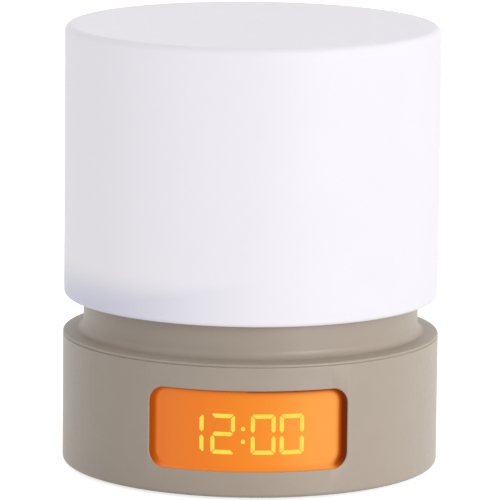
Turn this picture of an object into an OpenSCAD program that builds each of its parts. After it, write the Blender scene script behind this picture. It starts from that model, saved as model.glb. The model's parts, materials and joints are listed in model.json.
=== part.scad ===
// Bedside lamp clock: an opal drum diffuser on a narrow neck, over a drum base with a curved display.
// Millimetres. +Z is up, the display faces -Y, and the origin is the middle of the footprint.

/* [Base] */
// Outer diameter of the base
base_d = 105.5; // [103:0.5:110]
// Height of the base wall from its lower edge to the shoulder
base_h = 37.8; // [37:0.2:44]
// Thickness of the base wall
base_wall = 2.5; // [2:0.1:2.8]
// Thickness of the shoulder
shoulder_t = 2.5; // [2:0.1:3]
// Edge radius of the shoulder
shoulder_r = 1.5; // [0.6:0.1:2]
// Edge radius of the base's lower edge
lower_r = 1.2; // [0.6:0.1:1.6]
// Thickness of the base plate
plate_t = 3; // [3:0.1:3.6]

/* [Neck] */
// How far the neck is set in from the diffuser's side
neck_inset = 5.5; // [5:0.1:6.5]
// Height of the neck that shows between the shoulder and the diffuser
neck_gap = 9.5; // [6:0.5:14]
// How far the neck rises inside the diffuser
neck_rise = 7.2; // [6:0.2:10]
// Wall thickness of the neck
neck_wall = 2.4; // [2:0.1:3]
// Thickness of the lamp platform in the neck
platform_t = 2; // [1.6:0.1:2.6]
// Radius of the hollow corner between the neck and the shoulder
neck_fillet = 2; // [0.5:0.1:3]

/* [Diffuser] */
// Outer diameter of the diffuser
diffuser_d = 105; // [104:0.5:110]
// Height of the diffuser
diffuser_h = 76.2; // [50:0.2:100]
// Side wall of the diffuser
diffuser_wall = 2.2; // [1.6:0.1:2.6]
// Thickness of the diffuser's top
diffuser_top = 2.6; // [2:0.1:3.6]
// Edge radius of the diffuser's top
crown_r = 2; // [0.8:0.1:2.2]
// Edge radius of the diffuser's lower rim
rim_r = 1.2; // [0.4:0.1:1.4]
// Travel of the diffuser when it is pressed
press_travel = 1; // [0.5:0.1:1.2]
// Height of the return springs under the diffuser
spring_h = 5; // [4.6:0.1:6]

/* [Display] */
// Half of the window's angle around the base
window_half_angle = 31; // [28:0.5:31]
// Height of the window
window_h = 22.4; // [20:0.1:23]
// Height of the window's lower edge above the base's lower edge
window_z = 7.3; // [7:0.1:8.4]
// Corner radius of the window
window_r = 4.5; // [1:0.5:6]
// Depth from the base's surface to the display
window_depth = 3.9; // [3.6:0.1:4.4]
// Height of the digits
digit_h = 11.2; // [10:0.1:12.6]
// Width of a digit
digit_w = 6.8; // [6:0.1:7]
// Width of a lit bar
stroke = 1.15; // [0.9:0.05:1.5]
// Gap between neighbouring bars at a digit's corners
bar_gap = 0.25; // [0.15:0.05:0.5]
// Gap between the upper and the lower side bar of a digit
middle_gap = 0.9; // [0.3:0.05:1]
// Height of the digits' middle above the base's lower edge
digit_z = 17; // [16:0.1:19]
// Diameter of a colon dot
dot_d = 1.2; // [0.8:0.1:1.6]
// Spacing of the colon dots
dot_pitch = 3.6; // [3:0.1:5]

/* [Keys] */
// Spacing of the key stations
key_pitch = 8.4; // [8.2:0.1:8.6]
// Diameter of a key
key_d = 6; // [5:0.1:6.2]
// Travel of a key
key_travel = 0.7; // [0.4:0.1:0.9]
// Height of the key row above the base's lower edge
key_z = 26; // [25:0.1:27]
// Depth of the recessed band that the keys stand in
band_depth = 1; // [0.6:0.1:1.2]
// Height of the recessed band
band_h = 10.4; // [9:0.1:11]
// Travel of the alarm slider
slider_travel = 3; // [2:0.1:3.4]

/* [Power] */
// Diameter of a battery cell
cell_d = 10.2; // [10:0.1:10.5]
// Length of a battery cell with its button
cell_l = 44.5; // [43:0.1:45]
// Spacing of the cells
cell_pitch = 11; // [10.7:0.1:11.2]
// Thickness of the battery door
door_t = 2.6; // [2.2:0.1:2.6]
// Diameter of the speaker
speaker_d = 28; // [20:1:28]

/* [Feet] */
// Diameter of a foot
foot_d = 10; // [8:0.5:11]
// How far the feet stand below the base
foot_out = 0.8; // [0.6:0.1:2]
// Depth of the recess that holds a foot
foot_recess = 1; // [0.6:0.1:1.4]

/* [Fits] */
// Gap between a moving piece and the wall beside it
slide_gap = 0.25; // [0.2:0.05:0.4]
// Gap under a piece that rests on its seat
seat_gap = 0.3; // [0.2:0.05:0.4]
// Radial clearance of a hinge pin and of a screw in its hole
pin_gap = 0.05; // [0.02:0.01:0.08]
// Gap around a piece that is glued or clipped in place
fit_gap = 0.1; // [0.05:0.05:0.15]

/* [Hidden] */
$fn = 96;

// Cutters run past what they cut by this much
cut = 1;
// Thickness of the two plates that the window's cutter is spanned between
sliver = 0.01;
// Segments of a rounded edge
edge_steps = 8;

// Levels, from the floor up
base_z = foot_out;
plate_z = base_z + plate_t;
shoulder_z = base_z + base_h;
roof_z = shoulder_z - shoulder_t;
rim_z = shoulder_z + neck_gap;
neck_z = rim_z + neck_rise;
platform_drop = 1.8;
platform_z = neck_z - platform_drop;
carrier_z = platform_z + spring_h;
carrier_t = 2;
top_z = rim_z + diffuser_h;

// Radii
base_ro = base_d / 2;
base_ri = base_ro - base_wall;
diffuser_ro = diffuser_d / 2;
diffuser_ri = diffuser_ro - diffuser_wall;
neck_ro = diffuser_ro - neck_inset;
neck_ri = neck_ro - neck_wall;

// Screws: shank radius, head radius, head height
screw_r = 1.4;
screw_head_r = 2.7;
screw_head_h = 1.6;
small_r = 1;
small_head_r = 2;
small_head_h = 1.2;
boss_wall = 1.7;

// Base plate and its pillars
pillar_angle = 34;
pillar_inset = 6.75;
pillar_ring = base_ri - pillar_inset;
pillar_x = pillar_ring * cos(pillar_angle);
pillar_y = pillar_ring * sin(pillar_angle);
pillar_wall = 2.1;
pillar_r = screw_r + pillar_wall;
screw_bite = 8;
plate_gap = 0.25;

// Neck joint: register skirt, flange and screw ring
skirt_inset = 6.8;
skirt_r = neck_ri - skirt_inset;
skirt_wall = 2;
flange_t = 2;
neck_screw_inset = 1.9;
head_room = 0.3;
neck_screw_r = min(neck_ri - neck_screw_inset, base_ri - screw_head_r - head_room);
neck_screw_angles = [45, 135, 225, 315];
neck_boss_r = screw_r + boss_wall;
neck_boss_h = 7.5;

// Battery bay
cells = 3;
bay_wall = 1.5;
contact_room = 2.3;
contact_t = 0.4;
contact_w = 8;
contact_coil_r = 3;
bay_x = cell_l / 2 + contact_room + contact_t + fit_gap;
cell_room = 0.6;
bay_y = -12.4;
bay_half = ((cells - 1) * cell_pitch + cell_d) / 2 + cell_room;
bay_front = bay_y - bay_half;
bay_rear = bay_y + bay_half;
door_gap = 0.3;
ledge = 0.4;
door_top = base_z + door_t;
cell_z = door_top + seat_gap + cell_d / 2;
bay_roof = cell_z + cell_d / 2 + cell_room;
barrel_r = 1.5;
hinge_pin_r = 1;
hinge_pin_l = 1.8;
hinge_back = 1.9;
hinge_lift = 0.1;
hinge_y = bay_rear + hinge_back;
hinge_z = base_z + barrel_r + hinge_lift;
door_half_x = bay_x + ledge - door_gap;
door_front = bay_front - ledge + door_gap;
notch_half = 6;
notch_depth = 3;
notch_h = 0.8;
cell_nub_r = 1.9;
cell_nub_l = 1;
foot_clear = 1.5;
foot_inset = 1.35;
foot_ring = base_ri - foot_d / 2 - foot_inset;
foot_y = ledge - bay_front + foot_d / 2 + foot_clear;
foot_x = sqrt(foot_ring * foot_ring - foot_y * foot_y);

// Main board and what stands on it
board_t = 1.6;
main_lift = 10;
main_z = base_z + main_lift;
main_top = main_z + board_t;
main_half_x = 23.5;
bay_back = 1.8;
main_gap = 0.8;
bay_end = hinge_y + barrel_r + door_gap + bay_back;
main_front = bay_end + main_gap;
main_side_inset = 1.75;
main_rear_inset = 4.25;
main_r = base_ri - main_side_inset;
main_rear = base_ri - main_rear_inset;
// Screw holes of the board's right half: x, y
main_holes = [[20, main_front + 3.4], [17, main_rear - 4.6]];
main_screws = [for (s = [-1, 1], p = main_holes) [s * p[0], p[1]]];
main_boss_wall = 1.6;
main_boss_r = small_r + main_boss_wall;
speaker_y = (main_front + main_rear) / 2;
speaker_h = 3;
magnet_d = 16;
magnet_h = 2.2;
slot_r = 0.9;
// Chips: x, width, depth, height; they stand behind the keypad's header
chips = [[-13.5, 8, 8, 1.4], [6, 5, 6, 1.2]];
// Capacitors: x, radius, height; they stand beside the header
capacitors = [[-16, 3.2, 6.5], [15.5, 2.5, 5.5]];

// Power inlet
inlet_w = 9;
inlet_h = 3.2;
inlet_l = 7.4;
inlet_skin = 0.3;
tongue_w = 6.4;
tongue_t = 0.7;
inlet_floor = 1;
inlet_set = 1;
inlet_z = main_top + inlet_h / 2;
inlet_y = base_ro - inlet_set;

// Display
lens_ro = base_ro - window_depth;
lens_t = 1.5;
lens_ri = lens_ro - lens_t;
lens_margin_angle = 2;
frame_margin_angle = 3;
frame_edge = 2.2;
lens_edge = 1.4;
window_low = base_z + window_z;
window_high = window_low + window_h;
bar_t = 0.2;
digit_mid = base_z + digit_z;
one_arc = -12.85;
two_arc = -6.95;
colon_arc = -1.35;
zero_arcs = [4.15, 12.1];
dot_drop = 0.25;
box_set = 12.25;
box_rear = base_ri - box_set;
box_wall = 1;
box_margin_angle = 1.4;
box_half_x = lens_ri * sin(window_half_angle + box_margin_angle);
ear_out = 5;
ear_x = box_half_x + ear_out;
ear_t = 2;
ear_half_z = 3;
ear_z = (window_low + window_high) / 2;
lug_r = small_r + boss_wall;
lug_bite = 3;
board_inset = 0.4;
display_half_x = box_half_x - board_inset;
display_rear = box_rear - board_t;
// Half widths of the light chambers behind the digits and the colon
chamber_half = 3.4;
colon_chamber_half = 1.4;
one_chamber_half = 2.1;
chamber_gap = 0.4;
side_chamber_gap = 1;
led_size = [1.6, 0.8, 1.6];

// Ribbon between the display board and the main board
ribbon_x = 15;
ribbon_w = 8;
ribbon_t = 0.6;
ribbon_lift = 4;
ribbon_in = 8;
plug_side = 1;
plug_d = 3;

// Keys
stations = 6;
key_names = ["time", "alarm", "plus", "minus", "light"];
key_r = key_d / 2;
key_flange = 0.75;
key_flange_t = 1.4;
key_set = 0.25;
key_ro = base_ro - key_set;
key_mid = base_z + key_z;
flange_ro = base_ri - seat_gap;
flange_ri = flange_ro - key_flange_t;
station_max = (stations - 1) / 2 * key_pitch;
flange_reach = station_max + key_r + key_flange;
band_end = 1;
band_half = flange_reach + band_end;
flange_back = sqrt(flange_ri * flange_ri - flange_reach * flange_reach);
switch_w = 6;
switch_h = 3.5;
plunger_r = 1.6;
plunger_out = 1;
plunger_in = 0.8;
stem_r = 1.5;
stem_room = 2;
switch_top = flange_back - key_travel - stem_room - plunger_out;
keypad_y = switch_top - switch_h;
keypad_side = 4.4;
keypad_half_x = station_max + keypad_side;
keypad_half_z = 6;
slider_w = 3;
slider_stem = 2;
slider_h = 3;
slide_body_w = 5;
slide_body_end = 2;
slide_floor = 1;
slide_body_l = slider_h + slider_travel + 2 * slide_body_end;
slider_low = key_mid - slider_travel / 2;
post_w = 4;
post_wrap = 2;
post_overlap = 1.2;
header_pins = 8;
header_pitch = 2;
header_w = 2.6;
header_h = 2.5;
header_gap = 1.4;
header_back = board_t + header_gap + header_w / 2;
header_rise = 3;
pin_w = 0.6;

// Lamp, snooze switch and diffuser carrier
lamp_led = [3, 3, 0.8];
wire_r = 0.7;
wire_x = 1.2;
plug_inset = 3.4;
wire_y = main_front + plug_inset;
plug_h = 5;
plug_w = 6;
wire_hole_r = 3;
leg_inset = 8.6;
leg_ring_r = neck_ri - leg_inset;
leg_r = 2.5;
leg_angles = [90, 210, 330];
washer_r = 4;
washer_t = 0.8;
leg_bite = 5;
coil_r = 3.65;
coil_wire = 0.25;
coil_turns = 4;
contact_turns = 2;
snooze_inset = 13.6;
snooze_y = snooze_inset - neck_ri;
snooze_board_t = 1;
snooze_board_w = 10;
snooze_board_d = 8;
snooze_h = 2;
snooze_floor = 0.3;
lamp_gap = 3;
lamp_screw_inset = 3.5;
lamp_r = -snooze_y - snooze_board_d / 2 - lamp_gap;
lamp_screw_x = lamp_r - lamp_screw_inset;
// Rings of lamp emitters: radius, number
lamp_rings = [[lamp_r * 0.7, 12], [lamp_r / 3, 6]];
carrier_hole_inset = 18.6;
carrier_hole_r = neck_ri - carrier_hole_inset;
carrier_ro = diffuser_ri - fit_gap;
guide_gap = 0.6;
guide_drop = 2;

// Points along an arc about (cx, cy), from angle a to angle b
function arc(cx, cy, r, a, b, n = edge_steps) =
    [for (i = [0:n]) let (t = a + (b - a) * i / n) [cx + r * cos(t), cy + r * sin(t)]];

// X of key station i, counted from -X
function station_x(i) = (i - (stations - 1) / 2) * key_pitch;

// Centre line of a coil spring that stands on z = 0
function coil_path(r, wire, h, turns, steps) =
    [for (i = [0:turns * steps])
        let (t = 360 * i / steps)
        [r * cos(t), r * sin(t), wire + (h - 2 * wire) * i / (turns * steps)]];

// Least gap between neighbouring turns, measured on the points of the path
function coil_gap(path, wire, steps) =
    min([for (i = [0:len(path) - 1 - steps]) norm(path[i + steps] - path[i])]) - 2 * wire;

// Tube from z0 to z1
module tube(r_out, r_in, z0, z1) {
    translate([0, 0, z0]) difference() {
        cylinder(r = r_out, h = z1 - z0);
        translate([0, 0, -cut]) cylinder(r = r_in, h = z1 - z0 + 2 * cut);
    }
}

// Box between two corners
module block(low, high) {
    translate(low) cube(high - low);
}

// Cylinder along Y, from y0 to y1
module rod_y(x, z, r, y0, y1) {
    translate([x, y0, z]) rotate([-90, 0, 0]) cylinder(r = r, h = y1 - y0);
}

// Cylinder along X, from x0 to x1
module rod_x(y, z, r, x0, x1) {
    translate([x0, y, z]) rotate([0, 90, 0]) cylinder(r = r, h = x1 - x0);
}

// Wedge about -Y, as wide as a half angle on each side, from z0 to z1
module front_wedge(half, z0, z1) {
    reach = 2 * base_ro;
    translate([0, 0, z0]) linear_extrude(z1 - z0)
        polygon([[0, 0], [-reach * sin(half), -reach * cos(half)], [reach * sin(half), -reach * cos(half)]]);
}

// Rounded plate of the window's shape at distance d from the axis
module window_plate(d) {
    half = d * tan(window_half_angle);
    translate([0, -d, window_low + window_h / 2]) rotate([90, 0, 0]) linear_extrude(sliver)
        hull() for (sx = [-1, 1], sz = [-1, 1])
            translate([sx * (half - window_r), sz * (window_h / 2 - window_r)])
                circle(r = window_r, $fn = 32);
}

// Screw along +Z whose head lies below z = 0
module screw(r, l, head_r, head_h) {
    cylinder(r = r, h = l, $fn = 32);
    translate([0, 0, -head_h]) cylinder(r = head_r, h = head_h, $fn = 32);
}

// Coil spring on z = 0, one unbroken tube
module coil(r, wire, h, turns, steps = 8, sides = 6) {
    path = coil_path(r, wire, h, turns, steps);
    n = len(path);
    echo(coil_turn_gap = coil_gap(path, wire, steps));
    points = [for (i = [0:n - 1], j = [0:sides - 1])
        let (t = 360 * i / steps, b = 360 * j / sides)
        path[i] + wire * [cos(b) * cos(t), cos(b) * sin(t), sin(b)]];
    walls = [for (i = [0:n - 2], j = [0:sides - 1])
        let (k = (j + 1) % sides, a = i * sides, b = (i + 1) * sides)
        each [[a + j, a + k, b + k], [a + j, b + k, b + j]]];
    start = [for (j = [1:sides - 2]) [0, j + 1, j]];
    last = (n - 1) * sides;
    end = [for (j = [1:sides - 2]) [last, last + j, last + j + 1]];
    polyhedron(points = points, faces = concat(walls, start, end));
}

// Switch housing along +Y with a blind bore for its plunger
module switch_body(w, h, bore_r, floor_t) {
    difference() {
        translate([-w / 2, 0, -w / 2]) cube([w, h, w]);
        rod_y(0, 0, bore_r, floor_t, h + cut);
    }
}

// Base

module shell_profile() {
    polygon(concat(
        [[base_ri, base_z]],
        arc(base_ro - lower_r, base_z + lower_r, lower_r, -90, 0),
        arc(base_ro - shoulder_r, shoulder_z - shoulder_r, shoulder_r, 0, 90),
        [[skirt_r, shoulder_z], [skirt_r, roof_z], [base_ri, roof_z]]));
}

module window_frame() {
    intersection() {
        tube(base_ri + base_wall / 2, lens_ro + fit_gap, window_low - frame_edge, window_high + frame_edge);
        front_wedge(window_half_angle + frame_margin_angle,
            window_low - frame_edge, window_high + frame_edge);
    }
}

module display_lugs() {
    intersection() {
        for (s = [-1, 1]) rod_y(s * ear_x, ear_z, lug_r, -base_ro, -box_rear);
        cylinder(r = base_ri + base_wall / 2, h = shoulder_z);
    }
}

module base_shell() {
    color("#a69a8c") difference() {
        union() {
            rotate_extrude($fn = 128) shell_profile();
            window_frame();
            display_lugs();
            for (sx = [-1, 1], sy = [-1, 1])
                translate([sx * pillar_x, sy * pillar_y, plate_z])
                    cylinder(r = pillar_r, h = roof_z + shoulder_t / 2 - plate_z);
        }
        hull() {
            window_plate(base_ro * 1.15);
            window_plate(base_ro * 0.7);
        }
        intersection() {
            tube(base_ro + cut, base_ro - band_depth, key_mid - band_h / 2, key_mid + band_h / 2);
            block([-band_half, 0, 0], [band_half, base_d, shoulder_z]);
        }
        for (i = [0:len(key_names) - 1])
            rod_y(station_x(i), key_mid, key_r + slide_gap, base_ri / 2, base_ro + cut);
        translate([station_x(stations - 1), 0, slider_low])
            block([-slider_w / 2 - slide_gap, base_ri / 2, -slider_h / 2 - slide_gap],
                [slider_w / 2 + slide_gap, base_ro + cut, slider_travel + slider_h / 2 + slide_gap]);
        block([-inlet_w / 2 - slide_gap, base_ri / 2, inlet_z - inlet_h / 2 - slide_gap],
            [inlet_w / 2 + slide_gap, base_ro + cut, inlet_z + inlet_h / 2 + slide_gap]);
        for (sx = [-1, 1], sy = [-1, 1])
            translate([sx * pillar_x, sy * pillar_y, plate_z - cut])
                cylinder(r = screw_r + pin_gap, h = screw_bite + 2 * cut);
        for (s = [-1, 1])
            rod_y(s * ear_x, ear_z, small_r + pin_gap, -box_rear - lug_bite - fit_gap, -box_rear + cut);
        for (a = neck_screw_angles)
            rotate([0, 0, a]) translate([neck_screw_r, 0, roof_z - cut])
                cylinder(r = screw_r + pin_gap, h = shoulder_t + 2 * cut);
    }
}

module keypad_post(s) {
    front = keypad_y - board_t;
    start = keypad_half_x - post_overlap;
    low = key_mid - keypad_half_z - fit_gap;
    scale([s, 1, 1]) difference() {
        block([start, front - post_wrap, plate_z - plate_t / 2],
            [start + post_w, keypad_y + post_wrap, key_mid + keypad_half_z + fit_gap]);
        block([start - cut, front - fit_gap, low],
            [keypad_half_x + fit_gap, keypad_y + fit_gap, key_mid + keypad_half_z + cut]);
    }
}

module base_plate() {
    color("#8f8478") difference() {
        union() {
            translate([0, 0, base_z]) cylinder(r = base_ri - plate_gap, h = plate_t);
            block([-bay_x - bay_wall, bay_front - bay_wall, plate_z - plate_t / 2],
                [bay_x + bay_wall, bay_end, bay_roof + bay_wall]);
            for (p = main_screws)
                translate([p[0], p[1], plate_z - plate_t / 2])
                    cylinder(r = main_boss_r, h = main_z - plate_z + plate_t / 2);
            keypad_post(-1);
            keypad_post(1);
        }
        block([-bay_x, bay_front, base_z - cut], [bay_x, bay_rear, bay_roof]);
        block([-bay_x - ledge, bay_front - ledge, base_z - cut],
            [bay_x + ledge, hinge_y + barrel_r + door_gap, plate_z]);
        block([-bay_x - ledge, bay_rear - fit_gap, base_z - cut],
            [bay_x + ledge, hinge_y + barrel_r + door_gap, hinge_z + barrel_r + door_gap]);
        rod_x(hinge_y, hinge_z, hinge_pin_r + pin_gap, -door_half_x - door_gap - hinge_pin_l, 0);
        rod_x(hinge_y, hinge_z, hinge_pin_r + pin_gap, 0, door_half_x + door_gap + hinge_pin_l);
        for (sx = [-1, 1], sy = [-1, 1]) {
            translate([sx * foot_x, sy * foot_y, base_z - cut])
                cylinder(r = foot_d / 2 + fit_gap, h = foot_recess + cut);
            translate([sx * pillar_x, sy * pillar_y, base_z - cut]) {
                cylinder(r = screw_r + pin_gap, h = plate_t + 2 * cut);
                cylinder(r = screw_head_r + fit_gap, h = screw_head_h + cut);
            }
        }
        for (p = main_screws)
            translate([p[0], p[1], plate_z]) cylinder(r = small_r + pin_gap, h = main_z - plate_z + cut);
        for (ring = [0:2], i = [0:max(0, ring * 6 - 1)])
            translate([0, speaker_y, base_z - cut]) rotate([0, 0, 60 / max(1, ring) * i])
                translate([ring * speaker_d / 7, 0, 0]) cylinder(r = slot_r, h = plate_t + 2 * cut, $fn = 24);
        block([-notch_half, bay_front - ledge - notch_depth, base_z - cut],
            [notch_half, bay_front, base_z + notch_h]);
    }
}

module feet() {
    color("#2b2a29") for (sx = [-1, 1], sy = [-1, 1])
        translate([sx * foot_x, sy * foot_y, 0]) cylinder(r = foot_d / 2, h = foot_out + foot_recess);
}

module base_screws() {
    color("silver") for (sx = [-1, 1], sy = [-1, 1])
        translate([sx * pillar_x, sy * pillar_y, base_z + screw_head_h])
            screw(screw_r, plate_t - screw_head_h + screw_bite, screw_head_r, screw_head_h);
}

module battery_door() {
    color("#8f8478") {
        block([-door_half_x, door_front, base_z], [door_half_x, hinge_y, door_top]);
        rod_x(hinge_y, hinge_z, barrel_r, -door_half_x, door_half_x);
        rod_x(hinge_y, hinge_z, hinge_pin_r, -door_half_x - door_gap - hinge_pin_l + fit_gap,
            door_half_x + door_gap + hinge_pin_l - fit_gap);
    }
}

// X direction of cell i's button end
function cell_turn(i) = i % 2 == 0 ? 1 : -1;
function cell_y(i) = bay_y + (i - (cells - 1) / 2) * cell_pitch;

module batteries() {
    color("#c8641e") for (i = [0:cells - 1]) {
        s = cell_turn(i);
        translate([-s * cell_l / 2, cell_y(i), cell_z]) rotate([0, s * 90, 0]) {
            cylinder(r = cell_d / 2, h = cell_l - cell_nub_l);
            cylinder(r = cell_nub_r, h = cell_l);
        }
    }
}

module battery_contacts() {
    wall_x = cell_l / 2 + contact_room;
    color("silver") for (i = [0:cells - 1], s = [-1, 1]) {
        translate([s > 0 ? wall_x : -wall_x - contact_t, cell_y(i) - contact_w / 2, cell_z - contact_w / 2])
            cube([contact_t, contact_w, contact_w]);
        translate([s * wall_x, cell_y(i), cell_z]) rotate([0, -s * 90, 0])
            if (s == cell_turn(i)) cylinder(r = cell_nub_r, h = contact_room);
            else coil(contact_coil_r, coil_wire, contact_room, contact_turns);
    }
}

// Electronics

module main_board() {
    color("#1f6b45") difference() {
        translate([0, 0, main_z]) linear_extrude(board_t) intersection() {
            translate([-main_half_x, main_front]) square([2 * main_half_x, main_rear - main_front]);
            circle(r = main_r);
        }
        for (p = main_screws) translate([p[0], p[1], main_z - cut])
            cylinder(r = small_r + pin_gap, h = board_t + 2 * cut);
    }
}

module board_screws() {
    color("silver") for (p = main_screws)
        translate([p[0], p[1], main_top]) mirror([0, 0, 1])
            screw(small_r, board_t + main_z - plate_z - fit_gap, small_head_r, small_head_h);
}

module main_chips() {
    color("#202225") {
        for (c = chips) translate([c[0], keypad_y + seat_gap, main_top]) cube([c[1], c[2], c[3]]);
        for (c = capacitors) translate([c[0], keypad_y - header_back, main_top]) cylinder(r = c[1], h = c[2]);
    }
}

module inlet_outline(grow) {
    r = inlet_h / 2 + grow;
    half = inlet_w / 2 - inlet_h / 2;
    polygon(concat(arc(half, 0, r, -90, 90), arc(-half, 0, r, 90, 270)));
}

module power_inlet() {
    color("silver") translate([0, inlet_y, inlet_z]) rotate([90, 0, 0]) {
        difference() {
            linear_extrude(inlet_l) inlet_outline(0);
            translate([0, 0, -cut]) linear_extrude(inlet_l - inlet_floor + cut) inlet_outline(-inlet_skin);
        }
        translate([-tongue_w / 2, -tongue_t / 2, inlet_set])
            cube([tongue_w, tongue_t, inlet_l - inlet_set - inlet_floor / 2]);
    }
}

module speaker() {
    color("#2b2a29") translate([0, speaker_y, plate_z]) {
        cylinder(r = speaker_d / 2, h = speaker_h);
        cylinder(r = magnet_d / 2, h = speaker_h + magnet_h);
    }
}

// Display

module display_lens() {
    low = window_low - lens_edge;
    high = window_high + lens_edge;
    color("#f08a34") intersection() {
        tube(lens_ro, lens_ri, low, high);
        front_wedge(window_half_angle + lens_margin_angle, low - cut, high + cut);
    }
}

// Outlines of a digit's lit bars, about its middle: the top bar, the upper right bar and the middle bar
function top_bar(end, h, trim) =
    [[2 * trim - end, h], [end - 2 * trim, h], [end - trim, h - trim], [end - stroke, h - stroke],
     [stroke - end, h - stroke], [trim - end, h - trim]];
function side_bar(w, end, trim, tip) =
    [[w, end - 2 * trim], [w - trim, end - trim], [w - stroke, end - stroke], [w - stroke, tip + stroke / 2],
     [w - stroke / 2, tip], [w, tip + stroke / 2]];
function middle_bar(a, h) = [[-a, 0], [h - a, h], [a - h, h], [a, 0], [a - h, -h], [h - a, -h]];

// Seven-bar digit: bars counted top, upper right, lower right, bottom, lower left, upper left, middle
module digit(bars) {
    w = digit_w / 2;
    h = digit_h / 2;
    back = bar_gap / sqrt(2);
    // The digits' outer corners are cut off
    trim = stroke / 4;
    top = top_bar(w - back, h, trim);
    side = side_bar(w, h - back, trim, middle_gap / 2);
    middle = middle_bar(w - stroke / 2, stroke / 2);
    // Each bar: outline, turn to the left half, turn to the lower half
    places = [[top, 1, 1], [side, 1, 1], [side, 1, -1], [top, 1, -1], [side, -1, -1], [side, -1, 1],
        [middle, 1, 1]];
    for (b = bars) scale([places[b][1], places[b][2]]) polygon(places[b][0]);
}

// Stands a flat figure on the display at a distance along its surface
module on_display(along) {
    rotate([0, 0, along / lens_ro * 180 / PI]) translate([0, -lens_ro / 2, digit_mid])
        rotate([90, 0, 0]) linear_extrude(lens_ro) children();
}

module digit_bars() {
    color("#fde05a") intersection() {
        tube(lens_ro + bar_t, lens_ro, window_low, window_high);
        union() {
            on_display(one_arc - (digit_w - stroke) / 2) digit([1, 2]);
            on_display(two_arc) digit([0, 1, 6, 4, 3]);
            for (a = zero_arcs) on_display(a) digit([0, 1, 2, 3, 4, 5]);
            for (s = [-1, 1]) on_display(colon_arc) translate([0, s * dot_pitch / 2 - dot_drop])
                circle(r = dot_d / 2, $fn = 32);
        }
    }
}

// X and half width of each figure's light chamber
function chambers() = [[one_arc, one_chamber_half], [two_arc, chamber_half],
    [colon_arc, colon_chamber_half], [zero_arcs[0], chamber_half], [zero_arcs[1], chamber_half]];

// X of the middle of the light chambers beside the figures
function side_chambers() = [(one_arc - one_chamber_half - box_half_x) / 2,
    (zero_arcs[1] + chamber_half + box_half_x) / 2];

module light_box() {
    low = window_low - lens_edge;
    high = window_high + lens_edge;
    color("#f2efe8") difference() {
        union() {
            intersection() {
                cylinder(r = lens_ri - fit_gap, h = high);
                block([-box_half_x, -base_ro, low], [box_half_x, -box_rear, high]);
            }
            block([-ear_x - small_head_r, -box_rear, ear_z - ear_half_z],
                [-display_half_x - fit_gap, -box_rear + ear_t, ear_z + ear_half_z]);
            block([display_half_x + fit_gap, -box_rear, ear_z - ear_half_z],
                [ear_x + small_head_r, -box_rear + ear_t, ear_z + ear_half_z]);
            for (s = [-1, 1]) scale([s, 1, 1])
                block([display_half_x + fit_gap, -box_rear - box_wall, ear_z - ear_half_z],
                    [box_half_x, -box_rear + ear_t, ear_z + ear_half_z]);
        }
        for (c = chambers())
            block([c[0] - c[1], -base_ro, digit_mid - digit_h / 2 - chamber_gap],
                [c[0] + c[1], -box_rear + cut, digit_mid + digit_h / 2 + chamber_gap]);
        block([-box_half_x + box_wall, -base_ro, low + box_wall],
            [one_arc - one_chamber_half - side_chamber_gap, -box_rear + cut, high - box_wall]);
        block([zero_arcs[1] + chamber_half + side_chamber_gap, -base_ro, low + box_wall],
            [box_half_x - box_wall, -box_rear + cut, high - box_wall]);
        for (s = [-1, 1])
            rod_y(s * ear_x, ear_z, small_r + pin_gap, -box_rear - cut, -box_rear + ear_t + cut);
    }
}

module display_board() {
    low = window_low - lens_edge;
    high = window_high + lens_edge;
    color("#1f6b45") block([-display_half_x, -box_rear, low], [display_half_x, -display_rear, high]);
}

module display_leds() {
    color("#f5f0dc") {
        for (c = chambers(), row = [-1, 0, 1])
            translate([c[0], -box_rear - led_size[1] / 2, digit_mid + row * digit_h / 3])
                cube(led_size, center = true);
        for (x = side_chambers(), row = [-1, 0, 1])
            translate([x, -box_rear - led_size[1] / 2, ear_z + row * window_h / 3])
                cube(led_size, center = true);
    }
}

module display_screws() {
    color("silver") for (s = [-1, 1])
        translate([s * ear_x, -box_rear + ear_t, ear_z]) rotate([90, 0, 0])
            screw(small_r, ear_t + lug_bite, small_head_r, small_head_h);
}

module display_ribbon() {
    start = -display_rear;
    high = bay_roof + bay_wall + ribbon_lift;
    end = main_front + ribbon_in;
    low_x = ribbon_x - ribbon_w / 2;
    high_x = ribbon_x + ribbon_w / 2;
    color("#d8d4cb") {
        block([low_x - plug_side, start, high - plug_d / 2],
            [high_x + plug_side, start + plug_d, high + plug_d / 2]);
        block([low_x, start + plug_d / 2, high], [high_x, end, high + ribbon_t]);
        block([low_x, end - ribbon_t, main_top + plug_d / 2], [high_x, end, high + ribbon_t]);
        block([low_x - plug_side, end - ribbon_t - plug_d / 2, main_top],
            [high_x + plug_side, end + plug_d / 2, main_top + plug_d]);
    }
}

// Keypad

module keypad_board() {
    color("#1f6b45") block([-keypad_half_x, keypad_y - board_t, key_mid - keypad_half_z],
        [keypad_half_x, keypad_y, key_mid + keypad_half_z]);
}

module keypad_header() {
    back = keypad_y - board_t;
    mid = keypad_y - header_back;
    up = key_mid - keypad_half_z + header_rise;
    half = header_pins / 2 * header_pitch;
    color("#202225") block([-half, mid - header_w / 2, main_top],
        [half, mid + header_w / 2, main_top + header_h]);
    color("gold") for (i = [0:header_pins - 1]) {
        x = (i + 0.5) * header_pitch - half;
        block([x - pin_w / 2, mid - pin_w / 2, main_top + header_h / 2],
            [x + pin_w / 2, mid + pin_w / 2, up]);
        block([x - pin_w / 2, mid - pin_w / 2, up - pin_w], [x + pin_w / 2, back, up]);
    }
}

module key_switches() {
    color("#202225") for (i = [0:len(key_names) - 1])
        translate([station_x(i), keypad_y, key_mid])
            switch_body(switch_w, switch_h, plunger_r + pin_gap,
                switch_h - plunger_in - key_travel - fit_gap);
}

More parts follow.
